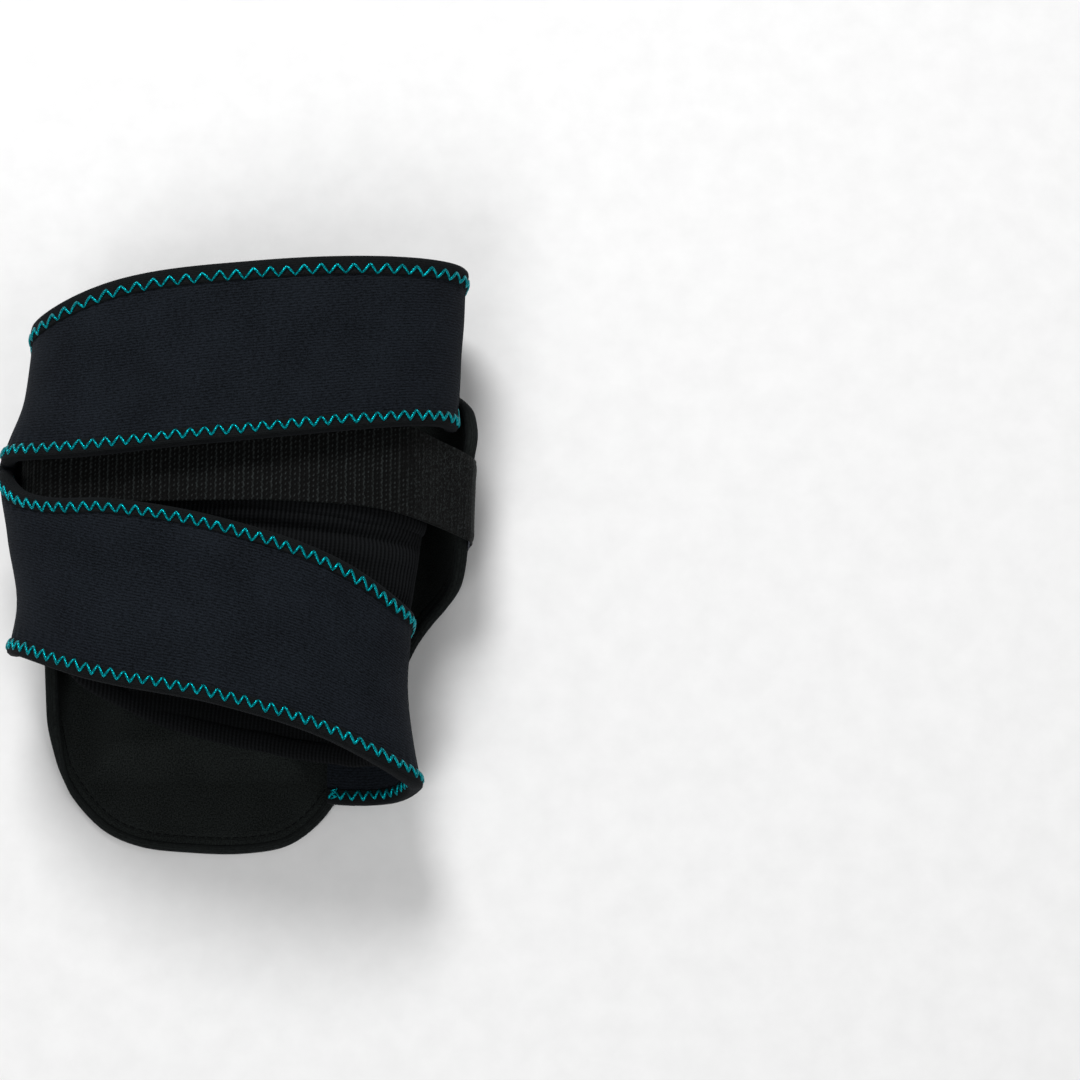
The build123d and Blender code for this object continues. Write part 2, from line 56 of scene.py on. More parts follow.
# Panel: folds, heights and thickness as in the part, long edges drawn where the bound edges settle
LEFT_FOLD_X = -79.5
FOLD_X = {"upper": 75.0, "lower": 62.5}
FOLD_HEIGHT = 37.0
ARM_RISE = 35.0          # from the folds up to the crown
ARM_THICKNESS = 4.0
ROOT_RADIUS = 33.4       # from the right fold down to the pad
ROOT_BEND = {"upper": math.radians(86), "lower": math.radians(78)}
STEM_RADIUS = 33.7       # from the left fold down to the stem's lower end
STEM_BEND = math.radians(30.3)
UPPER_TOP = [(-84, 77), (-46, 87), (8, 93), (80, 100)]
UPPER_LOW = [(-84, 31), (-65, 28), (-10, 30), (40, 36), (80, 43)]
LOWER_TOP = [(-84, 24), (-65, 15), (-40, 12), (0, 4), (40, -9), (66, -23)]
LOWER_LOW = [(-84, -34), (-50, -47), (0, -58), (35, -68), (66, -82)]
# By arm, and whether it is the arm's top edge: its line in front, and its ends at the foot and at the stem
EDGES = {("upper", True): UPPER_TOP, ("upper", False): UPPER_LOW,
         ("lower", True): LOWER_TOP, ("lower", False): LOWER_LOW}
ROOT_ENDS = {("upper", True): 98.0, ("upper", False): 60.0, ("lower", True): -30.0, ("lower", False): -82.3}
STEM_ENDS = {("upper", True): 50.5, ("upper", False): 21.0, ("lower", True): 19.4, ("lower", False): -10.5}
CUSP_LIFT = 6.8          # how far the lower lip of the slit rises to meet the upper one
# How far the panel's left side lies from its fold line, along the limb: (place, distance)
LEFT_SWELL = [(-35, 2.5), (-20, 5), (5, 0.5), (29, -2.5), (52, 4.5), (84, 6.5)]
RIGHT_SWELL = {
    "upper": [(40, -2), (99, 2)],
    "lower": [(-80, 0.5), (-45, -5), (-28, -3.5)],
}
ZIGZAG_PERIOD = {("upper", True): 5.6, ("upper", False): 4.8, ("lower", True): 4.65, ("lower", False): 4.5}
ZIGZAG_NEAR = 1.9        # from the edge to the outer and to the inner turns of the zigzag
ZIGZAG_FAR = 5.0
TOP_SEAM_WIDER = 1.4     # how much further in the upper arm's top seam lies
FOOT_REACH = 6.5         # how far the lower corner of the sewn foot reaches in over the pad's edge
THREAD = 0.46            # radius


# Numbers

def smooth(x):
    x = np.clip(x, 0.0, 1.0)
    return x * x * (3 - 2 * x)


def curve(points, x):
    """Smooth line through (x, y) points, straight beyond its ends."""
    px, py = np.array(points, float).T
    slopes = np.gradient(py, px)
    x = np.asarray(x, float)
    i = np.clip(np.searchsorted(px, x) - 1, 0, len(px) - 2)
    step = px[i + 1] - px[i]
    t = np.clip((x - px[i]) / step, 0, 1)
    inside = (
        (1 + 2 * t) * (1 - t) ** 2 * py[i] + t * (1 - t) ** 2 * step * slopes[i]
        + t * t * (3 - 2 * t) * py[i + 1] + t * t * (t - 1) * step * slopes[i + 1]
    )
    return inside + np.minimum(x - px[0], 0) * slopes[0] + np.maximum(x - px[-1], 0) * slopes[-1]


def run_along(line):
    """Distance of each point of a line from its start."""
    return np.concatenate([[0], np.cumsum(np.linalg.norm(np.diff(line, axis=0), axis=1))])


def points_of(*coordinates):
    """Points from their coordinates, which are spread to one shape."""
    return np.stack(np.broadcast_arrays(*coordinates), -1)


def through(points, count, closed=False):
    """Evenly spaced points on a smooth curve through control points."""
    p = np.array(points, float)
    if closed:
        p = np.concatenate([p[-2:], p, p[:3]])
    knots = np.concatenate([[0], np.cumsum(np.linalg.norm(np.diff(p, axis=0), axis=1) ** 0.5)])
    low, high = (knots[2], knots[-3]) if closed else (knots[0], knots[-1])
    fine = np.linspace(low, high, count * 8 + 1)
    dense = np.stack([curve(np.stack([knots, column], 1), fine) for column in p.T], 1)
    length = run_along(dense)
    at = np.linspace(0, length[-1], count, endpoint=not closed)
    return np.stack([np.interp(at, length, column) for column in dense.T], 1)


def waves(a, b, seed, size):
    """Gentle unevenness of cloth, about -1 to 1, whose hollows are about size across."""
    rng = np.random.default_rng(seed)
    total = np.zeros(np.broadcast(a, b).shape)
    for _ in range(7):
        angle, phase = rng.uniform(0, 2 * math.pi, 2)
        scale = 2 * math.pi / (size * rng.uniform(0.7, 1.9))
        total = total + np.sin((a * math.cos(angle) + b * math.sin(angle)) * scale + phase)
    return total / 4


# Meshes

def finish_mesh(name, points, faces, weave, material, slot, body, rise=None):
    """Object of points in millimetres, whose weave coordinates are millimetres too. rise is how high each point of the
    knit stands, from 0 to 1; its material paints that height as light and shade, lighter where the knit stands high and
    darker in its hollows."""
    used = np.unique(np.concatenate([np.asarray(f).ravel() for f in faces]))
    where = np.full(len(points), -1)
    where[used] = np.arange(len(used))
    mesh = bpy.data.meshes.new(name)
    mesh.from_pydata((points[used] * MM).tolist(), [], [row for f in faces for row in where[np.asarray(f)].tolist()])
    layer = mesh.uv_layers.new(name=UV)
    corner = np.zeros(len(mesh.loops), dtype=np.int64)
    mesh.loops.foreach_get("vertex_index", corner)
    layer.data.foreach_set("uv", weave[used][corner].astype(np.float32).ravel())
    if rise is not None:
        mesh.attributes.new("rise", "FLOAT", "POINT").data.foreach_set("value", rise[used].astype(np.float32))
    shape = bmesh.new()
    shape.from_mesh(mesh)
    bmesh.ops.remove_doubles(shape, verts=shape.verts, dist=1e-7)
    bmesh.ops.recalc_face_normals(shape, faces=shape.faces)
    shape.to_mesh(mesh)
    shape.free()
    mesh.shade_smooth()
    mesh.materials.append(material)
    piece = bpy.data.objects.new(name, mesh)
    bpy.context.scene.collection.objects.link(piece)
    if body:
        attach(piece, body)
    return piece


def cells(rows, columns, wrap=False, keep=None):
    """Corner numbers of the quads of a grid; wrap joins the last row to the first."""
    i, j = np.meshgrid(np.arange(rows if wrap else rows - 1), np.arange(columns - 1), indexing="ij")
    if keep is not None:
        i, j = i[keep], j[keep]
    i, j = i.ravel(), j.ravel()
    after = (i + 1) % rows
    return np.stack([i * columns + j, after * columns + j, after * columns + j + 1, i * columns + j + 1], 1)


def sheet_faces(quads, count):
    """Faces of a sheet with two sides, whose second side's corners follow count corners of the first."""
    edges = np.concatenate([quads[:, [k, (k + 1) % 4]] for k in range(4)])
    keys = np.sort(edges, 1)
    _, first, times = np.unique(keys[:, 0] * count + keys[:, 1], return_index=True, return_counts=True)
    rim = edges[first[times == 1]]
    walls = np.stack([rim[:, 1], rim[:, 0], rim[:, 0] + count, rim[:, 1] + count], 1)
    return [quads, quads[:, ::-1] + count, walls]


def sheet_mesh(name, outer, inner, weave, material, slot, body, wrap=False, keep=None, rise=None):
    """Closed sheet of cloth between two grids of points."""
    rows, columns = outer.shape[:2]
    count = rows * columns
    faces = sheet_faces(cells(rows, columns, wrap, keep), count)
    points = np.concatenate([outer.reshape(-1, 3), inner.reshape(-1, 3)])
    flat = weave.reshape(-1, 2)
    # The inner face gets 0.7 of the rise: painted shade, so it comes out darker than the outer face.
    high = None if rise is None else np.concatenate([rise.ravel(), rise.ravel() * 0.7])
    return finish_mesh(name, points, faces, np.concatenate([flat, flat]), material, slot, body, high)


def tube_faces(along, around, closed=False):
    """Faces of a tube, with a cap at each end unless it is closed."""
    i, j = np.meshgrid(np.arange(along if closed else along - 1), np.arange(around), indexing="ij")
    i, j = i.ravel(), j.ravel()
    after, beside = (i + 1) % along, (j + 1) % around
    faces = [np.stack([i * around + j, after * around + j, after * around + beside, i * around + beside], 1)]
    if not closed:
        faces += [np.arange(around)[None, ::-1], (along - 1) * around + np.arange(around)[None, :]]
    return faces


def tube_mesh(name, rings, material, slot, body, closed=False, rise=None):
    """Solid skin over rings of points, (along, around, 3), with its ends capped unless it is closed."""
    along, around = rings.shape[:2]
    weave = np.stack(np.meshgrid(run_along(rings[:, 0]), run_along(rings[0]), indexing="ij"), 2)
    high = None if rise is None else rise.ravel()
    faces = tube_faces(along, around, closed)
    return finish_mesh(name, rings.reshape(-1, 3), faces, weave.reshape(-1, 2), material, slot,
                       body, high)


def unit(v):
    return v / np.maximum(np.linalg.norm(v, axis=-1, keepdims=True), 1e-9)


def thread_rings(path, up, radius, sides=7):
    """Rings of a round thread along a path; up is any direction that isn't along it."""
    ahead = unit(np.gradient(path, axis=0))
    side = unit(np.cross(ahead, up))
    lift = np.cross(side, ahead)
    turn = np.linspace(0, 2 * math.pi, sides, endpoint=False)[None, :, None]
    radius = np.broadcast_to(radius, path.shape[:1])[:, None, None]
    return path[:, None] + radius * (np.cos(turn) * side[:, None] + np.sin(turn) * lift[:, None])


def to_and_fro(at):
    """Share of its turn that each point of a zigzag has done, and how far across it is, from 0 to 1 and back."""
    part = at - np.floor(at + 1e-9)
    odd = np.floor(at + 1e-9).astype(int) % 2
    return part, np.where(odd == 0, part, 1 - part)


# Materials

class Nodes:
    """Short names for the nodes of one material."""

    def __init__(self, name):
        self.material = bpy.data.materials.new(name)
        self.material.use_nodes = True
        self.tree = self.material.node_tree
        self.shader = next(n for n in self.tree.nodes if n.type == "BSDF_PRINCIPLED")

    def node(self, kind, **values):
        made = self.tree.nodes.new("ShaderNode" + kind)
        for key, value in values.items():
            setattr(made, key, value)
        return made

    def link(self, source, target):
        self.tree.links.new(source, target)

    def set(self, node, **values):
        for key, value in values.items():
            node.inputs[key.replace("_", " ")].default_value = value

    def weave(self, scale=(1, 1, 1), turn=0.0):
        """Weave coordinates in millimetres, scaled and turned."""
        source = self.node("UVMap", uv_map=UV)
        mapping = self.node("Mapping")
        self.set(mapping, Scale=scale, Rotation=(0, 0, turn))
        self.link(source.outputs["UV"], mapping.inputs["Vector"])
        return mapping.outputs["Vector"]

    def place(self):
        return self.node("TexCoord").outputs["Object"]

    def noise(self, vector, scale, detail=3.0, rough=0.55):
        made = self.node("TexNoise")
        self.set(made, Scale=scale, Detail=detail, Roughness=rough)
        self.link(vector, made.inputs["Vector"])
        return made.outputs["Fac"]

    def rows(self, vector, direction, period, distortion=0.4):
        made = self.node("TexWave", wave_type="BANDS", bands_direction=direction)
        self.set(made, Scale=2 * math.pi / 20 / period, Distortion=distortion, Detail=1.0, Detail_Scale=1.2)
        self.link(vector, made.inputs["Vector"])
        return made.outputs["Fac"]

    def math(self, operation, a, b):
        made = self.node("Math", operation=operation)
        for pin, value in zip(made.inputs, (a, b)):
            if isinstance(value, (int, float)):
                pin.default_value = value
            else:
                self.link(value, pin)
        return made.outputs["Value"]

    def total(self, *weighed):
        """Sum of values, each times its weight."""
        parts = [self.math("MULTIPLY", value, weight) for value, weight in weighed]
        made = parts[0]
        for part in parts[1:]:
            made = self.math("ADD", made, part)
        return made

    def surface(self, colour, rough, normal, **values):
        """Join colour, roughness and normal to the shader, and set its plain values."""
        for name, output in (("Base Color", colour), ("Roughness", rough), ("Normal", normal)):
            self.link(output, self.shader.inputs[name])
        self.set(self.shader, **values)

    def ramp(self, value, stops):
        made = self.node("ValToRGB")
        ramp = made.color_ramp
        while len(ramp.elements) < len(stops):
            ramp.elements.new(0.5)
        for element, (at, colour) in zip(ramp.elements, stops):
            element.position = at
            element.color = (*colour, 1)
        self.link(value, made.inputs["Fac"])
        return made.outputs["Color"]

    def span(self, value, low, high):
        made = self.node("MapRange")
        self.set(made, To_Min=low, To_Max=high)
        self.link(value, made.inputs["Value"])
        return made.outputs["Result"]

    def bump(self, height, distance, strength=1.0, below=None):
        made = self.node("Bump")
        self.set(made, Distance=distance * MM, Strength=strength)
        self.link(height, made.inputs["Height"])
        if below is not None:
            self.link(below, made.inputs["Normal"])
        return made.outputs["Normal"]


def shades(colour, low=0.7, high=1.35, spread=0.25):
    return [(0.5 - spread, [c * low for c in colour]), (0.5 + spread, [c * high for c in colour])]


def cloth(name, colour, along=None, across=None, relief=0.12, nap=0.1, rough=(0.78, 0.95), sheen=0.02,
          tint=(0.8, 0.85, 1.0), low=0.35, high=2.1, rise=0.0, gloss=0.04, spread=0.14):
    """Woven or knitted cloth: rows along and across it, given by their spacing, under a soft nap. rise is how much
    painted light and shade change its tone: the knit is painted lighter where it stands high and darker in its hollows."""
    n = Nodes(name)
    weave = n.weave()
    flecks = n.noise(weave, 2.0, 3.0, 0.75)
    height, tone = flecks, flecks
    if along:
        dashes = n.noise(n.weave((0.7, 1.6 / along, 1)), 1.0, 3.0, 0.65)
        rows = n.rows(weave, "Y", along, 2.6)
        height = n.total((rows, 0.35), (dashes, 0.65))
        tone = n.total((dashes, 0.42), (flecks, 0.50), (rows, 0.08))
    if across:
        height = n.total((n.rows(weave, "X", across, 2.2), 0.18), (height, 0.9))
    tone = n.total((tone, 0.9), (n.noise(weave, 0.06, 2.0), 0.1))
    # Painted light and shade: tone follows the rise attribute, so raised ribs, cords and loops come out lighter and the
    # hollows between them darker.
    if rise:
        stands = n.node("Attribute", attribute_name="rise")
        tone = n.total((tone, 1 - rise), (stands.outputs["Fac"], rise))
    fuzz = n.bump(n.noise(weave, 6.0, 2.0, 0.7), nap)
    n.surface(n.ramp(tone, shades(colour, low, high, spread)), n.span(n.noise(weave, 0.5), *rough),
              n.bump(height, relief, 1.0, fuzz),
              Sheen_Weight=sheen, Sheen_Roughness=0.5, Sheen_Tint=(*tint, 1), Specular_IOR_Level=gloss)
    return n.material


def thread_material(name, colour, gloss, shine, lustre):
    """Filament thread: fine twisted filaments, with a gloss along them."""
    n = Nodes(name)
    weave = n.weave(turn=math.radians(35))
    filaments = n.rows(weave, "Y", 0.55, 0.2)
    tone = n.total((filaments, 0.5), (n.noise(n.place(), 260.0), 0.5))
    n.surface(n.ramp(tone, shades(colour, 0.55, 1.45)), n.span(n.noise(weave, 1.0), gloss - 0.06, gloss + 0.1),
              n.bump(filaments, 0.06, 0.8), Specular_IOR_Level=shine, Metallic=lustre)
    return n.material


NAVY = cloth("neoprene_jersey", (0.0060, 0.0076, 0.0102), along=0.95, relief=0.14, nap=0.08, spread=0.09)
BINDING = cloth("stretch_binding", (0.0052, 0.0060, 0.0064), along=0.7, across=0.8, relief=0.06, nap=0.04)
EDGING = cloth("edge_binding", (0.0080, 0.0094, 0.0092), along=0.8, relief=0.06, nap=0.06)
LINING = cloth("brushed_lining", (0.0098, 0.0116, 0.0112), relief=0.12, nap=0.2, tint=(0.9, 1, 1), spread=0.10)
SHELL = cloth("shell_jersey", (0.0060, 0.0072, 0.0096), along=1.0, relief=0.14, nap=0.08, spread=0.10)
# RIB and ELASTIC take their tone partly from rise: painted light on the knit's raised ribs and cords, painted shade in
# its hollows.
RIB = cloth("rib_knit", (0.0048, 0.0053, 0.0058), along=1.1, relief=0.12, nap=0.08, rise=0.35, low=0.45, high=1.7)
ELASTIC = cloth("knitted_elastic", (0.0080, 0.0096, 0.0096), relief=0.20, nap=0.10,
                rough=(0.5, 0.75), tint=(0.9, 1, 1), rise=0.60, low=0.05, high=6.0, gloss=0.08, spread=0.17)
TEAL = thread_material("teal_thread", (0.0005, 0.240, 0.275), 0.27, 0.12, 0.88)
BLACK_THREAD = thread_material("black_thread", (0.0028, 0.003, 0.0034), 0.6, 0.04, 0.0)


# Panel

def left_share(s):
    """How strongly the left side's swell works at s."""
    return np.where(s < 2, smooth((s - 1.5) / 0.5), 1 - 0.75 * smooth(s - 2))


def right_share(s):
    return np.where(s > 1, 1 - smooth((s - 1) / 0.5), smooth(s * 1.1))


def panel_section(arm, s):
    """Place across the limb and height of the panel's outer face: s is 0 at the foot, 1 at the right fold, 2 at the
    left fold and 3 at the stem's lower end."""
    fold_x = FOLD_X[arm]
    foot = (1 - np.clip(s, 0, 1)) * ROOT_BEND[arm]
    root_x = fold_x - ROOT_RADIUS + ROOT_RADIUS * np.cos(foot)
    root_z = FOLD_HEIGHT - ROOT_RADIUS * np.sin(foot)
    turn = (np.clip(s, 1, 2) - 1) * math.pi
    centre, half = (fold_x + LEFT_FOLD_X) / 2, (fold_x - LEFT_FOLD_X) / 2
    front_x = centre + half * np.cos(turn)
    front_z = FOLD_HEIGHT + ARM_RISE * np.sin(turn)
    bend = (np.clip(s, 2, 3.2) - 2) * STEM_BEND
    stem_x = LEFT_FOLD_X + STEM_RADIUS * (1 - np.cos(bend))
    stem_z = FOLD_HEIGHT - STEM_RADIUS * np.sin(bend)
    x = np.where(s < 1, root_x, np.where(s < 2, front_x, stem_x))
    z = np.where(s < 1, root_z, np.where(s < 2, front_z, stem_z))
    return x, z


def panel_surface(arm, s, y):
    """Point of the panel's outer face."""
    s, y = np.broadcast_arrays(np.asarray(s, float), np.asarray(y, float))
    x, z = panel_section(arm, s)
    x = x + curve(LEFT_SWELL, y) * left_share(s) + curve(RIGHT_SWELL[arm], y) * right_share(s)
    if arm == "lower":
        x = x - FOOT_REACH * smooth((0.45 - s) / 0.45) * smooth((-58 - y) / 12)
    soft = waves(s * 62, y, 3 if arm == "upper" else 5, 34) * 0.5 * smooth((s - 0.3) * 2)
    turn = (np.clip(s, 1, 2) - 1) * math.pi
    return np.stack([x + soft * np.cos(turn), y, z + soft * np.sin(turn)], -1)


def panel_point(arm, s, y, height):
    """Point above the panel's outer face by height, or below it if that is negative."""
    step_s, step_y = 0.004, 0.3
    along = panel_surface(arm, s + step_s, y) - panel_surface(arm, s - step_s, y)
    across = panel_surface(arm, s, y + step_y) - panel_surface(arm, s, y - step_y)
    normal = unit(np.cross(across, along))
    return panel_surface(arm, s, y) + normal * np.asarray(height)[..., None]


def edge_y(arm, top, s):
    """Place along the limb of one long edge of an arm."""
    s = np.asarray(s, float)
    x, _ = panel_section(arm, np.clip(s, 1, 2))
    front = curve(EDGES[arm, top], x)
    if (arm, top) == ("lower", True):
        front = front + CUSP_LIFT * smooth((s - 1.83) / 0.17)
    sag = 2.6 if (arm, top) == ("lower", False) else 0.0
    rest = np.clip(s, 0, 1)
    early = 1.9 if (arm, top) == ("upper", False) else 1.0
    root = front + (ROOT_ENDS[arm, top] - front) * smooth((1 - rest) * early)
    root = root - sag * np.sin(math.pi * rest) * (1 - rest)
    stem = front + (STEM_ENDS[arm, top] - front) * smooth((s - 2) * 0.95)
    return np.where(s < 1, root, np.where(s > 2, stem, front))


def beside_edge(arm, top, s, inward):
    """Place along the limb at a distance inward from an edge, measured square to it."""
    step = 0.004
    slope = (edge_y(arm, top, s + step) - edge_y(arm, top, s - step)) / (2 * step)
    x0, z0 = panel_section(arm, s - step)
    x1, z1 = panel_section(arm, s + step)
    rate = np.hypot(x1 - x0, z1 - z0) / (2 * step)
    square = np.sqrt(1 + (slope / np.maximum(rate, 20)) ** 2)
    return edge_y(arm, top, s) + (-1 if top else 1) * inward * np.minimum(square, 1.6)


def lengths_along(arm, top, s):
    return run_along(panel_surface(arm, s, edge_y(arm, top, s)))


def pucker(distance, length, period):
    """Cloth drawn in a little by each stitch of a seam."""
    return -0.16 * np.exp(-((distance - 5.0) / 3.2) ** 2) * (1 + 0.8 * np.cos(2 * math.pi * length / period))


def seam_shift(arm, top):
    return TOP_SEAM_WIDER if (arm, top) == ("upper", True) else 0.0


PANEL_ROWS = np.concatenate([np.linspace(0, 1, 40)[:-1], np.linspace(1, 2, 190)[:-1], np.linspace(2, 3, 18)])


def panel_piece():
    """The whole Y-shaped panel as one sheet."""
    s = PANEL_ROWS[:, None]
    fine = np.concatenate([np.linspace(0, 12, 11)[:-1], np.linspace(12, 25, 6)]) / 50
    share = np.concatenate([fine, 1 - fine[::-1][1:]])
    grids, weaves = {}, {}
    for arm in ("lower", "upper"):
        low = beside_edge(arm, False, s, 1.2)
        high = beside_edge(arm, True, s, 1.2)
        y = low + (high - low) * share[None, :]
        length = lengths_along(arm, False, PANEL_ROWS)[:, None]
        height = pucker(y - low, length, ZIGZAG_PERIOD[arm, False])
        height = height + pucker(high - y, length + 2, ZIGZAG_PERIOD[arm, True])
        height = height * smooth((2.6 - s) * 2)
        outer = panel_point(arm, s + 0 * y, y, height)
        inner = panel_point(arm, s + 0 * y, y, -ARM_THICKNESS - 0.6 * height)
        grids[arm] = (outer, inner)
        weaves[arm] = points_of(length, y - low + (60 if arm == "upper" else 0))
    outer = np.concatenate([grids["lower"][0], grids["upper"][0]], 1)
    inner = np.concatenate([grids["lower"][1], grids["upper"][1]], 1)
    weave = np.concatenate([weaves["lower"], weaves["upper"]], 1)
    columns = len(share)
    keep = np.ones((len(PANEL_ROWS) - 1, 2 * columns - 1), bool)
    keep[PANEL_ROWS[:-1] < 1.999, columns - 1] = False
    return sheet_mesh("wrap_panel", outer, inner, weave, NAVY, "neoprene_navy", None, keep=keep)


# Section of a folded binding: how far in from the edge, and how far above the panel's outer face
BINDING_REACH = 6.55
BINDING_SHARE = 0.80     # how much of that reach the binding is drawn with
BINDING_SECTION = [
    (BINDING_REACH, -0.3), (6.5, 0.34), (5.6, 0.42), (4.2, 0.38), (2.9, 0.46), (1.7, 0.52), (0.8, 0.30), (0.2, -0.45),
    (0.0, -1.3), (0.0, -2.7), (0.2, -3.55), (0.8, -4.30), (1.7, -4.52), (2.9, -4.46), (4.2, -4.38), (5.6, -4.42),
    (6.5, -4.34), (BINDING_REACH, -3.7),
]


def binding_rings(arm, top, s):
    inward, height = np.array(BINDING_SECTION).T
    inward = inward * (BINDING_SHARE + seam_shift(arm, top) / BINDING_REACH)
    length = lengths_along(arm, top, s)[:, None]
    y = beside_edge(arm, top, s[:, None], inward[None, :])
    tug = 0.10 * np.cos(2 * math.pi * length / ZIGZAG_PERIOD[arm, top]) * np.exp(-((inward - 4.5) / 2.5) ** 2)
    outside = np.where(height > -2, 1, -1)
    return panel_point(arm, s[:, None] + 0 * y, y, height[None, :] + tug * outside)


def cusp_rings():
    """Binding where it turns round the end of the slit."""
    inward, height = np.array(BINDING_SECTION).T
    inward = inward * BINDING_SHARE
    upper, lower = edge_y("upper", False, 2.0), edge_y("lower", True, 2.0)
    centre, gap = (upper + lower) / 2, (upper - lower) / 2
    rings = []
    for turn in np.linspace(0, math.pi, 17)[1:-1]:
        reach = gap + inward
        down = reach * math.sin(turn) / (STEM_RADIUS * STEM_BEND)
        y = centre + reach * math.cos(turn)
        proud = 0.9 * math.sin(turn)
        rings.append(panel_point("lower", 2 + down, y, height + proud))
    return np.array(rings)


EDGE_ROWS = np.concatenate([np.linspace(0.0, 1, 60)[:-1], np.linspace(1, 2, 330)])
STEM_ROWS = np.linspace(2, 3, 30)[1:]


def panel_bindings():
    full = np.concatenate([EDGE_ROWS, STEM_ROWS])
    top = tube_mesh("upper_edge_binding", binding_rings("upper", True, full), BINDING, "binding_black", None)
    bottom = tube_mesh("lower_edge_binding", binding_rings("lower", False, full), BINDING, "binding_black", None)
    rings = [binding_rings("upper", False, EDGE_ROWS), cusp_rings(), binding_rings("lower", True, EDGE_ROWS)[::-1]]
    slit = tube_mesh("slit_binding_turned", np.concatenate(rings), BINDING, "binding_black", None)
    return top, slit, bottom


def zigzag(name, arm, top, last, inner=False):
    """Zigzag seam beside an edge, on the outer or the inner face."""
    s = np.linspace(0.02, last, 900)
    length = lengths_along(arm, top, s)
    turns = int(length[-1] / (ZIGZAG_PERIOD[arm, top] / 2))
    at = np.linspace(0, turns, turns * 9 + 1)
    part, swing = to_and_fro(at)
    eased = 0.5 - 0.5 * np.cos(math.pi * swing)
    across = 0.75 * swing + 0.25 * eased
    rng = np.random.default_rng(11)
    loose = np.interp(at, np.arange(turns + 2), rng.uniform(-0.16, 0.16, turns + 2))
    run = at * length[-1] / turns + loose
    inward = ZIGZAG_NEAR + seam_shift(arm, top) + (ZIGZAG_FAR - ZIGZAG_NEAR) * across + loose
    height = 0.46 + 0.30 * np.sin(math.pi * part) ** 0.8 - 0.42 * swing ** 4
    thick = THREAD * (1.12 - 0.30 * swing ** 3)
    place = np.interp(np.clip(run, 0, length[-1]), length, s)
    if inner:
        height = -ARM_THICKNESS - height
    path = panel_point(arm, place, beside_edge(arm, top, place, inward), height)
    above = panel_point(arm, place, beside_edge(arm, top, place, inward), height + 1) - path
    return tube_mesh(name, thread_rings(path, above, thick), TEAL, "thread_teal", None)


def panel_threads():
    made = []
    for arm in ("upper", "lower"):
        for top in (True, False):
            outside = (arm, top) in (("upper", True), ("lower", False))
            last = 2.9 if outside else 1.97
            name = arm + ("_top" if top else "_low")
            made.append(zigzag(name + "_zigzag", arm, top, last))
            made.append(zigzag(name + "_zigzag_back", arm, top, last, inner=True))
    return made


def over_fold(piece):
    """Bakes the piece's placement into its mesh."""
    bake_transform(piece)


panel = panel_piece()
bindings = panel_bindings()
threads = panel_threads()
for piece in (panel, *bindings, *threads):
    over_fold(piece)
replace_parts(panel, "upper_arm_panel", "lower_arm_panel", "stem_panel", "upper_root_panel", "lower_root_panel")
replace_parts(bindings[0], "upper_top_binding", "upper_root_bindings")
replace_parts(bindings[1], "slit_binding")
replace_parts(bindings[2], "lower_bottom_binding", "lower_root_bindings")
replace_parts(threads[0], "upper_top_stitch", "upper_root_stitches")
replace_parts(threads[2], "upper_slit_stitch")
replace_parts(threads[4], "lower_slit_stitch")
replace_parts(threads[6], "lower_bottom_stitch", "lower_root_stitches")


# Pad: u runs across it over the left wall, the floor and the right lobe, as if it lay flat

PAD_LEFT_BEND = -61.0
PAD_LEFT_RADIUS = 8.0
PAD_LOBE_BEND = 48.4
PAD_LOBE_RADIUS = 30.0
SHELL_THICKNESS = 2.0
LINING_THICKNESS = 1.6
POCKET_LIFT = 11.1       # underside of the lining over the pocket
POCKET_LEFT, POCKET_RIGHT, POCKET_LOW = -47.0, 39.0, -66.0
POCKET_CORNER = (16.0, -12.0)    # the lower right corner is cut off from this u to this y
MOUTH_Y = 97.0           # where the lining ends
MOUTH_FROM = 90          # from here on the lining draws back to its end
HEM_LINE = 5.6           # from the pad's edge
PAD_OUTLINE = [
    (0, 100), (36, 100), (53, 98), (59.5, 90), (60.5, 78), (63, 70), (70, 66), (80, 60.5), (91, 52), (95.5, 40),
    (94.5, 24), (90, 6), (82.5, -7.5), (74, -14), (66.5, -19.5), (60.5, -26), (56, -34), (50, -47), (41, -65),
    (33, -79), (25, -89.5), (15, -96.5), (0, -99.2), (-20, -98.8), (-36, -96.8), (-48, -91.8), (-57.5, -83),
    (-65, -72), (-71, -59), (-77, -46), (-82, -33), (-85, -18), (-85.5, 10), (-85.5, 42), (-84, 62), (-77, 80),
    (-65, 93), (-48, 99), (-24, 100),
]
LOBE_SWELL = [(-20, 0.0), (20, 0.0), (30, 0.5), (36, 1.4), (42, 2.3), (50, 1.8), (60, 0.4)]
RINGS = 360
RING_INSETS = [1.0, 1.8, 4.4, 5.0, HEM_LINE, 6.2, 7.0, 8.4]
INNER_RINGS = 61
HEM_PITCH = 3.0          # spacing of the hem's stitches


def pad_section(u, lift):
    """Place across the limb and height of a point of the pad, lift above its outer face."""
    lobe = np.clip((u - PAD_LOBE_BEND) / PAD_LOBE_RADIUS, 0, math.pi / 2)
    bend = np.clip((PAD_LEFT_BEND - u) / PAD_LEFT_RADIUS, 0, math.pi / 2)
    up_wall = np.maximum(PAD_LEFT_BEND - u - PAD_LEFT_RADIUS * math.pi / 2, 0)
    up_lobe = np.maximum(u - PAD_LOBE_BEND - PAD_LOBE_RADIUS * math.pi / 2, 0)
    x = np.clip(u, PAD_LEFT_BEND, PAD_LOBE_BEND)
    x = x + (PAD_LOBE_RADIUS - lift) * np.sin(lobe) - (PAD_LEFT_RADIUS - lift) * np.sin(bend)
    z = lift + (PAD_LOBE_RADIUS - lift) * (1 - np.cos(lobe)) + (PAD_LEFT_RADIUS - lift) * (1 - np.cos(bend))
    return x, z + up_wall + up_lobe


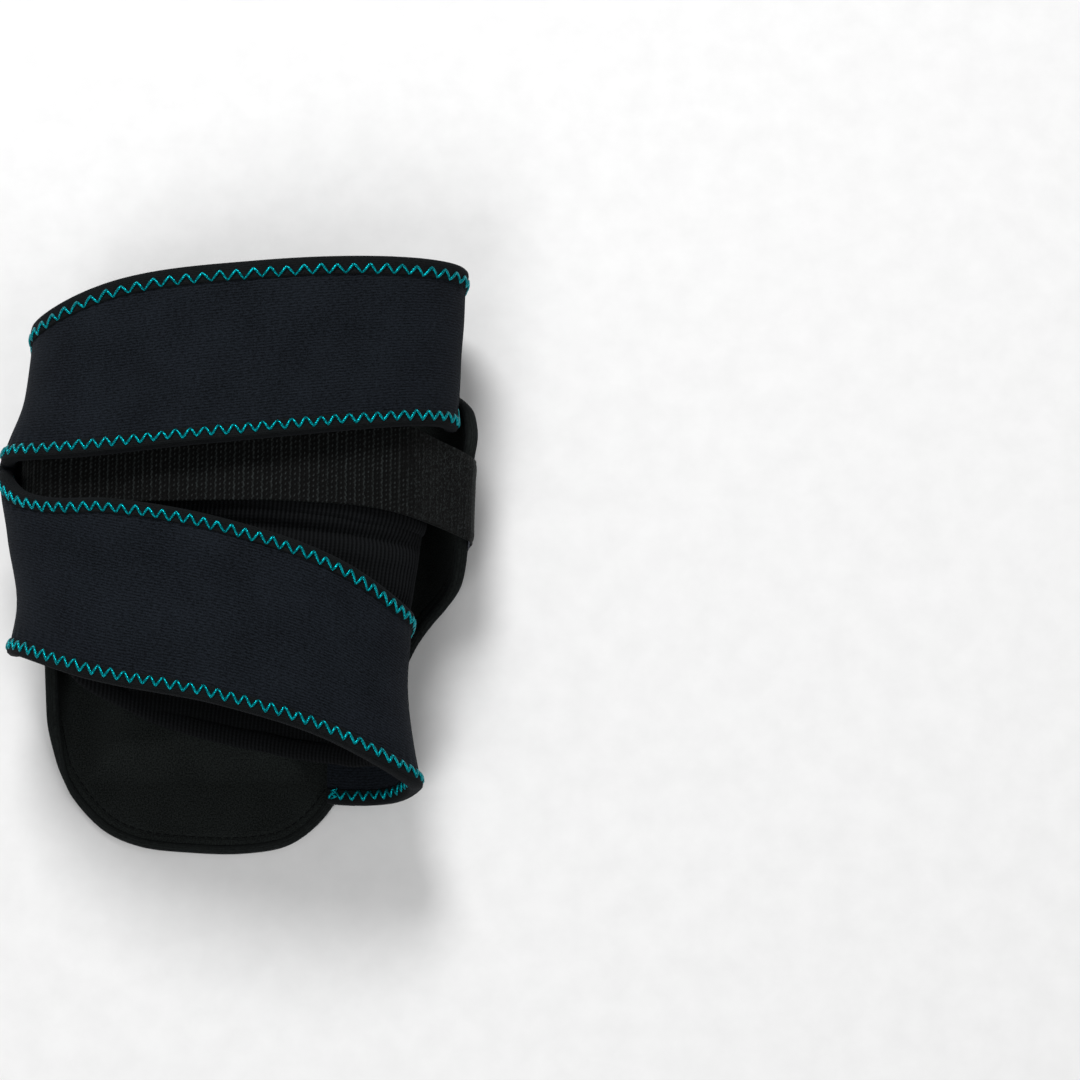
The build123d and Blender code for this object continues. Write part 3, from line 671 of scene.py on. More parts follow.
def lobe_swell(u, y):
    """How far the lobe bulges out past its plain bend."""
    return curve(LOBE_SWELL, y) * smooth((u - 66) / 26)


def pad_point(u, y, lift):
    u, y, lift = np.broadcast_arrays(np.asarray(u, float), y, lift)
    x, z = pad_section(u, lift)
    return np.stack([x + lobe_swell(u, y), y, z], -1)


def inset_outline(distance):
    """Outline of the pad, drawn in by a distance."""
    line = through(PAD_OUTLINE, RINGS, closed=True)
    ahead = unit(np.roll(line, -3, 0) - np.roll(line, 3, 0))
    inward = np.stack([ahead[:, 1], -ahead[:, 0]], 1)
    if np.sum(inward * line) > 0:
        inward = -inward
    return line + inward * distance


def pad_rings():
    """Rings of points from near the pad's edge to its middle."""
    rings = [inset_outline(d) for d in RING_INSETS]
    rings += [rings[-1] * share for share in np.linspace(1, 0, INNER_RINGS + 1)[1:]]
    return np.array(rings)


def inside_pocket(u, y):
    """Distance inside the pocket's outline in plan, less than 0 outside it."""
    cut_u, cut_y = POCKET_RIGHT - POCKET_CORNER[0], POCKET_CORNER[1] - POCKET_LOW
    slant = ((y - POCKET_LOW) * cut_u - (u - POCKET_CORNER[0]) * cut_y) / math.hypot(cut_y, cut_u)
    return np.minimum.reduce([u - POCKET_LEFT, POCKET_RIGHT - u, y - POCKET_LOW, slant])


def lining_lift(u, y):
    """Height of the lining's underside above the shell's outer face."""
    raised = smooth((inside_pocket(u, y) + 9.5) / 16.0)
    crease = waves(u, y, 21, 26) * 0.35 * smooth((inside_pocket(u, y) + 12) / 14)
    return SHELL_THICKNESS + (POCKET_LIFT - SHELL_THICKNESS) * raised + np.maximum(crease, -0.15) * raised


def pad_pieces():
    rings = np.swapaxes(pad_rings(), 0, 1)
    u, y = rings[..., 0], rings[..., 1]
    y_top = np.where(y > MOUTH_FROM, MOUTH_FROM + (y - MOUTH_FROM) * (MOUTH_Y - MOUTH_FROM) / 9, y)
    edge = np.array(RING_INSETS + [12.0] * INNER_RINGS)
    lift = lining_lift(u, y)
    at_mouth = smooth((y - MOUTH_FROM) / 5) * smooth((inside_pocket(u, y) + 6) / 5)
    hem = -0.75 * np.exp(-((edge - HEM_LINE) / 0.55) ** 2) * (1 - at_mouth)
    swell = 0.45 * smooth((9 - edge) / 4) * smooth((edge - 2) / 3) * (1 - at_mouth)
    outside = smooth((-inside_pocket(u, y) - 5) / 3)
    seam = -0.5 * np.exp(-((inside_pocket(u, y) + 8.2) / 0.9) ** 2) * (y < 96)
    rolls = 0.35 * waves(u, y, 8, 30) * outside * smooth((edge - 6) / 3)
    top = lift + LINING_THICKNESS + hem + swell + seam + np.maximum(rolls, -0.2)
    under = pad_point(u, y_top, np.minimum(lift, top - 0.6))
    lining = sheet_mesh("soft_lining", pad_point(u, y_top, top), under, rings,
                        LINING, "lining_brushed", "root", wrap=True)
    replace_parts(lining, "pad_lining")
    face = np.minimum(0.25 + 0.25 * waves(u, y, 31, 40), 0.6) * smooth((edge - 2) / 6)
    shell = sheet_mesh("outer_shell", pad_point(u, y, np.maximum(face, 0)), pad_point(u, y, SHELL_THICKNESS), rings,
                       SHELL, "neoprene_navy", "root", wrap=True)
    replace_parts(shell, "pad_outer_shell")


# Section of the binding round the pad: how far in from the edge, and how far above the shell's outer face
RIM_SECTION = [(3.1, 3.0), (3.0, 4.05), (2.2, 4.3), (1.2, 4.15), (0.5, 3.5), (0.15, 2.6), (0.1, 1.7), (0.3, 0.8),
               (0.9, 0.15), (1.8, 0.0), (3.0, 0.0), (3.1, 0.6)]


def pad_rim():
    """Binding folded round the pad's edge."""
    rings = []
    run = np.linspace(0, 2 * math.pi, RINGS, endpoint=False)
    for inward, lift in RIM_SECTION:
        line = inset_outline(inward)
        mouth = smooth((line[:, 1] - 94) / 3) * smooth((inside_pocket(line[:, 0], line[:, 1]) + 4) / 4)
        low = np.minimum(lift, 2.6) if lift > 2.6 else lift
        height = lift + (low - lift) * mouth
        height = height + (0.08 * np.sin(run * 97) if lift > 3.9 else 0)
        rings.append(pad_point(line[:, 0], line[:, 1], height))
    rings = np.swapaxes(np.array(rings), 0, 1)
    rim = tube_mesh("pad_rim_binding", rings, EDGING, "binding_black", "root", closed=True)
    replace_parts(rim, "pad_edge_binding")


def hem_stitch():
    """Separate straight stitches along the pad's hem, apart from the pocket's mouth."""
    line = inset_outline(HEM_LINE)
    line = np.concatenate([line, line[:1]])
    length = run_along(line)
    pieces = []
    for start in np.arange(0.5, length[-1] - HEM_PITCH, HEM_PITCH):
        at = start + np.linspace(0, HEM_PITCH * 0.76, 6)
        u, y = (np.interp(at, length, line[:, k]) for k in (0, 1))
        if y.mean() > 85 and inside_pocket(u.mean(), y.mean()) > -8:
            continue
        lift = SHELL_THICKNESS + LINING_THICKNESS - 0.45 + (np.sin(np.linspace(0, math.pi, 6)) * 0.32 - 0.12)
        path = pad_point(u, y, lift)
        pieces.append(thread_rings(path, pad_point(u, y, lift + 1) - path, 0.24, 6))
    hem_thread = stitches_mesh("hem_running_stitch", pieces, BLACK_THREAD, "thread_black", "root")
    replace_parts(hem_thread, "pad_hem_stitch")


def stitches_mesh(name, pieces, material, slot, body):
    """One piece of many short threads."""
    points, faces, weave, start = [], [], [], 0
    for rings in pieces:
        along, around = rings.shape[:2]
        faces += [face + start for face in tube_faces(along, around)]
        points.append(rings.reshape(-1, 3))
        run, turn = np.meshgrid(np.arange(along) * 0.5, np.arange(around) * 0.3, indexing="ij")
        weave.append(np.stack([run, turn], -1).reshape(-1, 2))
        start += along * around
    return finish_mesh(name, np.concatenate(points), faces, np.concatenate(weave), material, slot, body)


# Knit sleeve

SLEEVE_TOP_Y, SLEEVE_LOW_Y = 24.0, -80.0
SLEEVE_TOP_OVAL = (-1.4, 37.8, 65.6, 22.2)
SLEEVE_LOW_OVAL = (-9.5, 36.6, 59.5, 21.6)
SLEEVE_TOP_EDGE = [(-75, 21.0), (0, 17.5), (40, 13.5), (75, 10.5)]
SLEEVE_LOW_EDGE = [(-75, -51.0), (0, -65.0), (60, -77.0)]
SLEEVE_BASE_Z = 12.7
RIB_COUNT = 196
RIB_POINTS = 5           # points of the mesh round each rib
RIB_WIDTH = 1.52
KNIT_THICKNESS = 1.6


def sleeve_surface(turn, y, lift):
    """Point of the sleeve's wall, lift out of its outer face."""
    share = (SLEEVE_TOP_Y - y) / (SLEEVE_TOP_Y - SLEEVE_LOW_Y)
    x0, z0, a, b = (t + (l - t) * share for t, l in zip(SLEEVE_TOP_OVAL, SLEEVE_LOW_OVAL))
    normal = unit(np.stack([np.cos(turn) / a, np.sin(turn) / b], -1))
    x, z = x0 + a * np.cos(turn) + lift * normal[..., 0], z0 + b * np.sin(turn) + lift * normal[..., 1]
    return points_of(x, y, z)


def sleeve_turns():
    """Angles of the mesh's points, evenly spaced round the sleeve's oval, and how high the ribs stand at each."""
    fine = np.linspace(0, 2 * math.pi, 4001)
    step = np.hypot(62.5 * np.sin(fine), 22 * np.cos(fine))
    length = np.concatenate([[0], np.cumsum((step[1:] + step[:-1]) / 2)])
    turn = np.interp(np.linspace(0, length[-1], RIB_COUNT * RIB_POINTS, endpoint=False), length, fine)
    return turn, np.cos(np.arange(len(turn)) * 2 * math.pi / RIB_POINTS)


def sleeve_edges(turn):
    """Ends of the sleeve along the limb, at each angle."""
    top = np.full(turn.shape, 15.0)
    low = np.full(turn.shape, -60.0)
    for _ in range(3):
        x = sleeve_surface(turn, top, 0)[..., 0]
        top = curve(SLEEVE_TOP_EDGE, x)
        x, z = sleeve_surface(turn, low, 0)[..., (0, 2)].T
        lean = 0.15 + 0.95 * smooth((25 - x) / 70)
        low = curve(SLEEVE_LOW_EDGE, x) + lean * np.clip(z - SLEEVE_BASE_Z, 0, 24) + 18 * smooth((z - 28) / 18)
    return top, low


def sleeve_folds(turn, y):
    """Soft folds across the sleeve: deepest in front, where the elastic bunches it."""
    front = smooth((np.sin(turn) + 0.1) * 1.5)
    x = 62 * np.cos(turn)
    line = 5.5 - 0.07 * x
    fold = -2.4 * np.exp(-((y - line) / 2.0) ** 2) + 0.6 * np.exp(-((y - line + 6.5) / 2.4) ** 2)
    fold = fold - 1.3 * np.exp(-((y + 10 + 0.16 * x) / 2.6) ** 2)
    rear = smooth((-np.sin(turn) - 0.2) * 2)
    ripple = 0.55 * np.sin(y * 0.62 + 0.05 * x + 1.1 * np.sin(x * 0.06)) * smooth((-y - 30) / 12)
    return fold * front + ripple * rear + 0.25 * waves(62 * turn, y, 12, 22)


def sleeve_piece():
    turn, ribs = sleeve_turns()
    top, low = sleeve_edges(turn)
    share = np.concatenate([np.linspace(0, 0.35, 22)[:-1], np.linspace(0.35, 1, 26)])
    y = top[:, None] + (low - top)[:, None] * share[None, :]
    rib = 0.24 * ribs[:, None]
    turn = turn[:, None] + 0 * y
    folds = sleeve_folds(turn, y)
    outer = sleeve_surface(turn, y, rib + folds)
    inner = sleeve_surface(turn, y, -KNIT_THICKNESS + rib * 0.7 + folds)
    weave = points_of((np.arange(len(turn)) * RIB_WIDTH / RIB_POINTS)[:, None], y)
    # Painted light and shade of the ribs: lighter on each rib's crest, darker between the ribs.
    stands = 0.5 + 0.5 * ribs[:, None] + 0 * y
    sleeve = sheet_mesh("rib_sleeve", outer, inner, weave, RIB, "knit_rib", "root", wrap=True, rise=stands)
    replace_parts(sleeve, "knit_sleeve")


# Section of a rolled hem: how far in from the sleeve's end, and how far out of its outer face
HEM_SECTION = [(-0.4, 0.0), (0.4, 0.85), (1.8, 1.25), (3.4, 1.30), (5.0, 1.0), (6.1, 0.4), (6.4, -0.4), (6.0, -1.3),
               (4.8, -2.1), (3.0, -2.5), (1.2, -2.3), (0.0, -1.7), (-0.5, -0.8)]


def sleeve_hem(name, top):
    """Rolled, ribbed hem at one end of the sleeve."""
    turn, ribs = sleeve_turns()
    ends = sleeve_edges(turn)[0 if top else 1]
    inward = -1 if top else 1
    rib = 0.2 * ribs
    soft = 0.3 * waves(turn * 62, 0 * turn, 17, 18)
    folds = sleeve_folds(turn, ends)
    rings = [sleeve_surface(turn, ends + inward * (along + soft), lift + (rib if lift > 0 else 0) + folds)
             for along, lift in HEM_SECTION]
    # Painted light and shade of the hem's ribs, as on the sleeve.
    rise = 0.5 + 0.5 * ribs[:, None] + np.zeros(len(HEM_SECTION))
    hem = tube_mesh(name, np.swapaxes(np.array(rings), 0, 1), RIB, "knit_rib", "root", closed=True, rise=rise)
    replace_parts(hem, "sleeve_top_hem" if top else "sleeve_bottom_hem")


# Elastic band

ELASTIC_OVAL = (-1.0, 38.0, 69.0, 25.0)
ELASTIC_ANCHOR_X = -25.0         # where it is sewn down on the lining
ELASTIC_LOBE_RADIUS = 31.5       # of its outer face, on the lobe
ELASTIC_TOP_EDGE = [(-84, 41), (50, 43), (90, 30)]
ELASTIC_LOW_EDGE = [(-84, 14), (-20, 12.2), (20, 12.4), (50, 11), (90, 2)]
WALE = 3.1               # spacing of the cords that cross the band
LOOP = 1.65              # spacing of the loops along a cord


def elastic_line():
    """Line of the band's outer face across the limb: from its anchor, over the front and down outside the lobe."""
    x0, z0, a, b = ELASTIC_OVAL
    start = math.pi + math.acos((x0 - ELASTIC_ANCHOR_X) / a)
    oval = [(x0 + a * math.cos(t), z0 + b * math.sin(t)) for t in np.linspace(start, 0.42, 34)]
    lobe = [(PAD_LOBE_BEND + ELASTIC_LOBE_RADIUS * math.cos(t), PAD_LOBE_RADIUS + ELASTIC_LOBE_RADIUS * math.sin(t))
            for t in np.radians([0, -8, -16, -24, -30.5])]
    return through([*oval, (69.0, 42.2), (74.6, 37.8), (78.7, 33.6), *lobe], 830)


def elastic_pieces():
    line = elastic_line()
    tab_start = int(np.argmax((line[:, 0] > 77.5) & (line[:, 1] < 35.2)))
    ahead = unit(np.gradient(line, axis=0))
    run = run_along(line)[:, None]
    x, z = line[:, 0, None], line[:, 1, None]
    low, high = curve(ELASTIC_LOW_EDGE, x), curve(ELASTIC_TOP_EDGE, x)
    share = np.linspace(0, 1, 59)
    across = low + (high - low) * share - low
    y = low + (high - low) * share
    beat = share * np.round((high - low).mean() / LOOP)
    phase = (run + 0.22 * np.sin(2 * math.pi * beat)) / WALE
    cord = np.maximum(np.cos(2 * math.pi * phase), 0) ** 1.5
    strand = np.maximum(-np.cos(2 * math.pi * phase), 0) ** 0.7
    loops = np.maximum(np.cos(2 * math.pi * (beat + 0.25 * np.sin(2 * math.pi * phase))), 0)
    relief = 0.42 * cord * (0.72 + 0.28 * np.cos(2 * math.pi * beat)) + 0.30 * strand * loops - 0.28
    selvedge = np.exp(-((across / 1.1) ** 2)) + np.exp(-((high - low - across) / 1.1) ** 2)
    fine = 1 - 0.75 * smooth((x - 50) / 14)
    relief = relief * fine * (1 - 0.6 * np.minimum(selvedge, 1)) + 0.12 * np.minimum(selvedge, 1)
    specks = np.random.default_rng(71).uniform(0.0, 0.6, relief.shape)
    # Painted light and shade: raised cords and loops lighter, the gaps between them darker; the random specks are the
    # band's own tone, and near the lobe the cords fade and the specks take over.
    stands = 0.02 + fine * (0.45 * cord * (0.5 + specks) + 0.5 * strand * loops * (0.6 + specks))
    stands = stands + (1 - fine) * 0.7 * specks
    hug = curve(LOBE_SWELL, y) * smooth((x - 68) / 9)
    hug = hug - 5.0 * smooth((-x - 46) / 24) * smooth((z - 22) / 16)
    beside = np.minimum(across, high - low - across)
    limp = -0.8 * np.exp(-(beside / 1.6) ** 2) * smooth((x - 70) / 7)
    wavy = 0.25 * waves(run + 0 * y, y, 40, 24) * smooth((run[-1] - run - 45) / 20)

    def face(lift):
        return points_of(x - ahead[:, 1, None] * lift + hug, y, z + ahead[:, 0, None] * lift)

    outer, inner = face(relief - 0.05 + wavy + limp), face(-0.95 - relief * 0.3 + wavy + limp * 0.3)
    weave = points_of(run, across)
    cut = tab_start + 1
    band = sheet_mesh("elastic_strap", outer[:cut], inner[:cut], weave[:cut], ELASTIC, "knit_elastic", "root",
                      rise=stands[:cut])
    tab = sheet_mesh("elastic_strap_end", outer[tab_start:], inner[tab_start:], weave[tab_start:], ELASTIC,
                     "knit_elastic", None, rise=stands[tab_start:])
    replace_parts(band, "elastic_band")
    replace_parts(tab, "elastic_tab_end")
    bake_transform(tab)


pad_pieces()
pad_rim()
hem_stitch()
sleeve_piece()
sleeve_hem("sleeve_hem_top", True)
sleeve_hem("sleeve_hem_low", False)
elastic_pieces()


# Patches, tabs, seams and the cold pack

def rounded_grid(width, height, radius, across, up):
    """Grid over a rectangle with rounded corners, centred on 0, and each point's share of the way to the rim."""
    p, q = np.meshgrid(np.linspace(-1, 1, across), np.linspace(-1, 1, up), indexing="ij")
    a, b = p * width / 2, q * height / 2
    over_a, over_b = np.abs(a) - (width / 2 - radius), np.abs(b) - (height / 2 - radius)
    corner = (over_a > 0) & (over_b > 0)
    reach = np.where(corner, np.maximum(over_a, over_b), 1)
    size = np.where(corner, np.hypot(over_a, over_b), 1)
    a = np.where(corner, np.sign(a) * (width / 2 - radius + over_a * reach / size), a)
    b = np.where(corner, np.sign(b) * (height / 2 - radius + over_b * reach / size), b)
    rim = np.minimum(np.minimum(1 - np.abs(p), 1) * width / 2, (1 - np.abs(q)) * height / 2)
    return a, b, rim


def patch(name, place, width, height, low, high, material, slot, body, radius=2.0, step=1.0, relief=None):
    """Soft-edged patch of cloth or tape; place gives the point at (a, b, lift)."""
    a, b, rim = rounded_grid(width, height, radius, int(width / step) + 2, int(height / step) + 2)
    round_off = (1 - np.sqrt(np.clip(rim / 1.2, 0, 1))) * (high - low) * 0.35
    extra = relief(a, b, rim) if relief else 0
    outer, inner = place(a, b, high - round_off + extra), place(a, b, low + round_off * 0.6)
    return sheet_mesh(name, outer, inner, points_of(a, b), material, slot, body)


def hooks(place, width, height, base, pitch=1.15, tall=0.5):
    """Small hooks that stand on a patch, in rows."""
    made = []
    for row, b in enumerate(np.arange(-height / 2 + 1, height / 2 - 0.9, pitch)):
        lean = 0.32 if row % 2 else -0.32
        for a in np.arange(-width / 2 + 1.2, width / 2 - 1.1, pitch):
            rise = np.array([0, 0.45, 0.85, 1.0, 0.78]) * tall
            out = np.array([0, 0.0, 0.25, 0.75, 1.05]) * lean
            path = place(a + out, b + 0 * out, base + rise)
            made.append(thread_rings(path, place(a + out, b + 1 + 0 * out, base + rise) - path, 0.11, 5))
    return made


def loops(place, width, height, base, seed, pitch=0.95, tall=0.42):
    """Napped loops on a patch, each turned its own way."""
    rng = np.random.default_rng(seed)
    made = []
    for b in np.arange(-height / 2 + 0.7, height / 2 - 0.6, pitch):
        for a in np.arange(-width / 2 + 0.7, width / 2 - 0.6, pitch):
            turn, size = rng.uniform(0, math.pi), rng.uniform(0.75, 1.15)
            arc = np.linspace(0, math.pi, 6)
            run = 0.42 * np.cos(arc) * size
            at_a = a + rng.uniform(-0.2, 0.2) + run * math.cos(turn)
            at_b = b + rng.uniform(-0.2, 0.2) + run * math.sin(turn)
            lift = base - 0.08 + tall * np.sin(arc) * size
            path = place(at_a, at_b, lift)
            beside = place(at_a - math.sin(turn), at_b + math.cos(turn), lift) - path
            made.append(thread_rings(path, beside, 0.075, 4))
    return made


def tape(name, place, width, height, low, high, kind, body, seed=1, radius=1.5):
    """Patch of hook or loop tape: woven base, with its hooks or loops as one more piece riding on it."""
    material, slot = (HOOK, "hook_black") if kind == "hook" else (LOOP_TAPE, "loop_black")
    base = patch(name, place, width, height, low, high, material, slot, body, radius, 1.0)
    if kind == "hook":
        standing = hooks(place, width, height, high)
    else:
        standing = loops(place, width, height, high, seed)
    pile = stitches_mesh(name + "_" + kind + "s", standing, material, slot, body)
    pile.parent = base
    return base


HOOK = cloth("moulded_hooks", (0.014, 0.014, 0.016), along=1.15, across=1.15, relief=0.08, rough=(0.35, 0.5), sheen=0.0)
LOOP_TAPE = cloth("napped_loops", (0.012, 0.012, 0.014), relief=0.2, nap=0.25, sheen=0.4)


def film_material():
    n = Nodes("pouch_film")
    place = n.place()
    wrinkle = n.noise(place, 70.0, 4.0, 0.6)
    n.surface(n.ramp(wrinkle, [(0.3, (0.07, 0.30, 0.60)), (0.7, (0.13, 0.42, 0.74))]),
              n.span(n.noise(place, 240.0), 0.10, 0.26), n.bump(wrinkle, 0.5, 0.6),
              Transmission_Weight=0.45, IOR=1.45, Coat_Weight=0.4, Coat_Roughness=0.08)
    return n.material


def gel_material():
    n = Nodes("blue_gel")
    place = n.place()
    cloud = n.noise(place, 45.0, 3.0)
    n.surface(n.ramp(cloud, [(0.3, (0.02, 0.15, 0.50)), (0.7, (0.05, 0.27, 0.70))]),
              n.span(n.noise(place, 150.0), 0.2, 0.35), n.bump(cloud, 0.4, 0.5), Specular_IOR_Level=0.5)
    return n.material


def foam_material():
    n = Nodes("closed_cell_foam")
    cell = n.node("TexVoronoi", feature="F1")
    n.set(cell, Scale=1400.0)
    n.link(n.place(), cell.inputs["Vector"])
    pores = cell.outputs["Distance"]
    n.surface(n.ramp(pores, [(0.15, (0.06, 0.06, 0.064)), (0.6, (0.11, 0.11, 0.116))]), n.span(pores, 0.75, 0.95),
              n.bump(pores, 0.2, 0.8))
    return n.material


# Cold pack

GEL_LEFT, GEL_RIGHT, GEL_LOW, GEL_HIGH = -44.0, 36.0, -63.0, 84.0
GEL_CORNER = (14.5, -12.5)       # the lower right corner is cut off from this x to this y
GEL_ROUND = 9.0
GEL_MIDDLE_Z = 8.3
GEL_HALF = 2.45          # half of the pouch's thickness where it is full
GEL_CELLS = 3
WELD_WIDTH = 6.0


def pack_grid(inset, rows, columns):
    """Grid over the cold pack's outline in plan, with its cut-off corner and rounded ends."""
    y = np.linspace(GEL_LOW + inset, GEL_HIGH - inset, rows)
    end = np.minimum(y - GEL_LOW - inset, GEL_HIGH - inset - y)
    round_in = GEL_ROUND - np.sqrt(np.maximum(GEL_ROUND ** 2 - np.maximum(GEL_ROUND - end, 0) ** 2, 0))
    left = GEL_LEFT + inset + round_in
    corner_x, corner_y = GEL_CORNER
    slant = corner_x + (y - GEL_LOW) * ((GEL_RIGHT - corner_x) / (corner_y - GEL_LOW))
    right = np.where(y < corner_y, slant, GEL_RIGHT)
    right = right - inset - round_in - 1.2 * np.exp(-((y - corner_y) / 7) ** 2)
    share = 0.5 - 0.5 * np.cos(np.linspace(0, math.pi, columns))
    x = left[:, None] + (right - left)[:, None] * share[None, :]
    side = np.minimum(x - left[:, None], right[:, None] - x)
    return x, y[:, None] + 0 * x, np.minimum(side, end[:, None] + 0 * x)


def pack_bulge(y, rim):
    """How full the pouch is: round in the cells and flat in the welds."""
    pitch = (GEL_HIGH - GEL_LOW - WELD_WIDTH) / GEL_CELLS
    place = (y - GEL_LOW - WELD_WIDTH / 2) % pitch
    weld = np.minimum(place, pitch - place)
    inside = np.minimum(rim - 3.0, weld - 2.2)
    return np.sqrt(smooth(inside / 13))


def cold_pack():
    x, y, rim = pack_grid(0.0, 190, 70)
    full = pack_bulge(y, rim)
    crimp = 0.09 * np.cos(2 * math.pi * (x + y) / 1.9) * (full < 0.02)
    wrinkle = 0.22 * waves(x, y, 51, 12) * smooth(full * 3) * (1 - 0.6 * full)
    half = 0.3 + (GEL_HALF - 0.3) * full
    top = np.minimum(half + wrinkle, GEL_HALF) + crimp
    low = -np.minimum(half - wrinkle * 0.6, GEL_HALF) + crimp
    pouch = sheet_mesh("cold_pack_pouch", points_of(x, y, GEL_MIDDLE_Z + top), points_of(x, y, GEL_MIDDLE_Z + low),
                       points_of(x, y), film_material(), "pouch_film", "gel_pack")
    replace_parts(pouch, "gel_pouch")
    x, y, rim = pack_grid(3.2, 170, 60)
    full = pack_bulge(y, rim + 3.2)
    half = (GEL_HALF - 0.35) * full
    keep = (full[:-1, :-1] + full[1:, :-1] + full[:-1, 1:] + full[1:, 1:]) > 0.05
    gel = sheet_mesh("cold_pack_gel", points_of(x, y, GEL_MIDDLE_Z + half + 0.02),
                     points_of(x, y, GEL_MIDDLE_Z - half - 0.02), points_of(x, y), gel_material(),
                     "gel_blue", "gel_pack", keep=keep)
    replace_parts(gel, "gel_fill")


STRIP_MIDDLE = (-3.0, 92.1)      # of the closure strips at the pocket's mouth


def pocket_pieces():
    """Foam, mouth binding and closure tapes of the pocket."""
    x, y, rim = pack_grid(-1.6, 90, 44)
    y = np.minimum(y, 86.5)
    edge = np.sqrt(np.clip(rim / 1.5, 0, 1))
    foam = sheet_mesh("insulating_foam", points_of(x, y, 5.0 + 0.45 * edge), points_of(x, y, 2.5 - 0.4 * edge),
                      points_of(x, y), foam_material(), "foam_grey", "root")
    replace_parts(foam, "pad_insulation_foam")

    section = np.array([(-1.6, 2.05), (0.2, 2.3), (1.6, 2.1), (2.35, 1.4), (2.6, 0.8), (2.35, 0.2), (1.6, -0.2),
                        (0.2, -0.25), (-1.6, -0.15)])
    u = np.linspace(-53, 45, 150)[:, None]
    lift = lining_lift(u, np.full(u.shape, MOUTH_Y))
    rings = pad_point(u, MOUTH_Y + section[None, :, 0], lift + section[None, :, 1])
    mouth = tube_mesh("pocket_mouth_edge", rings, BINDING, "binding_black", "root")
    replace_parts(mouth, "pocket_mouth_binding")

    def on_shell(a, b, lift):
        return points_of(a + STRIP_MIDDLE[0], b + STRIP_MIDDLE[1], SHELL_THICKNESS + lift)

    def under_lining(a, b, lift):
        return points_of(a + STRIP_MIDDLE[0], b + STRIP_MIDDLE[1], 11.3 - lift)

    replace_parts(tape("pocket_hook_tape", on_shell, 74, 7.6, 0.0, 0.5, "hook", "root"), "pocket_hook_strip")
    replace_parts(tape("pocket_loop_tape", under_lining, 74, 7.6, 0.0, 0.5, "loop", "root", 5), "pocket_loop_strip")


# Side and lobe closures

TAB_OUTER_X = -73.9
TAB_LOW, TAB_HIGH, TAB_SPAN = 4.0, 27.0, (-8.0, 48.0)
WALL_FACE_X = -69.0      # outer face of the pad's left wall
LOBE_CLOSURE_Y = 19.0    # middle of the elastic tab's closure, along the limb


def tab_line(height):
    """Place across the limb of the closure tab's outer face: sewn on the stem above, close to the pad below."""
    on_stem = LEFT_FOLD_X + STEM_RADIUS * (1 - np.sqrt(1 - np.clip((FOLD_HEIGHT - height) / STEM_RADIUS, 0, 0.95) ** 2))
    on_stem = on_stem - 1.1
    return on_stem + (TAB_OUTER_X - on_stem) * smooth((20.5 - height) / 6)


def side_pieces():
    middle_y = sum(TAB_SPAN) / 2
    width = TAB_SPAN[1] - TAB_SPAN[0]
    height = TAB_HIGH - TAB_LOW
    middle_z = (TAB_HIGH + TAB_LOW) / 2

    def on_tab(a, b, lift):
        z = b + middle_z + 0 * lift
        swell = curve(LEFT_SWELL, a + middle_y) * (0.25 + 0.25 * smooth((z - 20) / 10)) * smooth((z - 14) / 8)
        return points_of(tab_line(z) + swell - lift, a + middle_y, z)

    def rim_fold(a, b, rim):
        fold = 0.35 * smooth((rim - 0.2) / 0.6) * (1 - smooth((rim - 4.2) / 0.4))
        return fold - 0.3 * np.exp(-((rim - 2.4) / 0.6) ** 2)

    tab = patch("closure_tab_cloth", on_tab, width, height, -2.4, 0.1, NAVY, "neoprene_navy", None, 6.0, 0.6, rim_fold)
    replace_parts(tab, "closure_tab_panel")
    stitches = stitches_on(on_tab, rounded_line(width - 4.8, height - 4.8, 4.0), 0.05)
    seam = stitches_mesh("closure_tab_running_stitch", stitches, BLACK_THREAD, "thread_black", None)
    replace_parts(seam, "closure_tab_stitch")

    def tab_back(a, b, lift):
        return points_of(lift - 71.4, a + middle_y, b + 11.5)

    def on_wall(a, b, lift):
        return points_of(WALL_FACE_X - lift, a + middle_y, b + 13.0)

    hook = tape("closure_hook_tape", tab_back, 44, 12.5, 0.0, 0.7, "hook", "closure_tab")
    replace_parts(hook, "closure_hook_patch")
    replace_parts(tape("side_loop_tape", on_wall, 56, 10, -0.1, 0.45, "loop", "root", 9), "side_loop_patch")
    for piece in (tab, seam):
        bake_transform(piece)

    def on_lobe(radius):
        def place(a, b, lift):
            turn = b / radius
            y = a + LOBE_CLOSURE_Y + 0.28 * b
            return points_of(PAD_LOBE_BEND + (radius + lift) * np.cos(turn) + curve(LOBE_SWELL, y), y,
                             PAD_LOBE_RADIUS + (radius + lift) * np.sin(turn))
        return place

    def lobe_patch(a, b, lift):
        return on_lobe(PAD_LOBE_RADIUS)(a, b - 8.6, lift)

    def tab_inside(a, b, lift):
        return on_lobe(30.6)(a, b - 9.2, -lift)

    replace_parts(tape("lobe_loop_tape", lobe_patch, 26, 15, -0.1, 0.3, "loop", "root", 13), "lobe_loop_patch")
    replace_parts(tape("elastic_hook_tape", tab_inside, 22, 14, -0.1, 0.3, "hook", "elastic_tab"), "elastic_hook_patch")


PATCH_PITCH = 2.8        # spacing of the stitches on patches


def rounded_line(width, height, radius, count=400):
    """Closed outline of a rectangle with rounded corners, centred on 0."""
    points = []
    for x, y, start in ((1, 1, 0), (-1, 1, 90), (-1, -1, 180), (1, -1, 270)):
        for turn in np.radians(start + np.linspace(0, 90, 14)):
            points.append((x * (width / 2 - radius) + radius * math.cos(turn),
                           y * (height / 2 - radius) + radius * math.sin(turn)))
    points = np.array(points + points[:1])
    length = run_along(points)
    at = np.linspace(0, length[-1], count)
    return np.stack([np.interp(at, length, points[:, k]) for k in (0, 1)], 1)


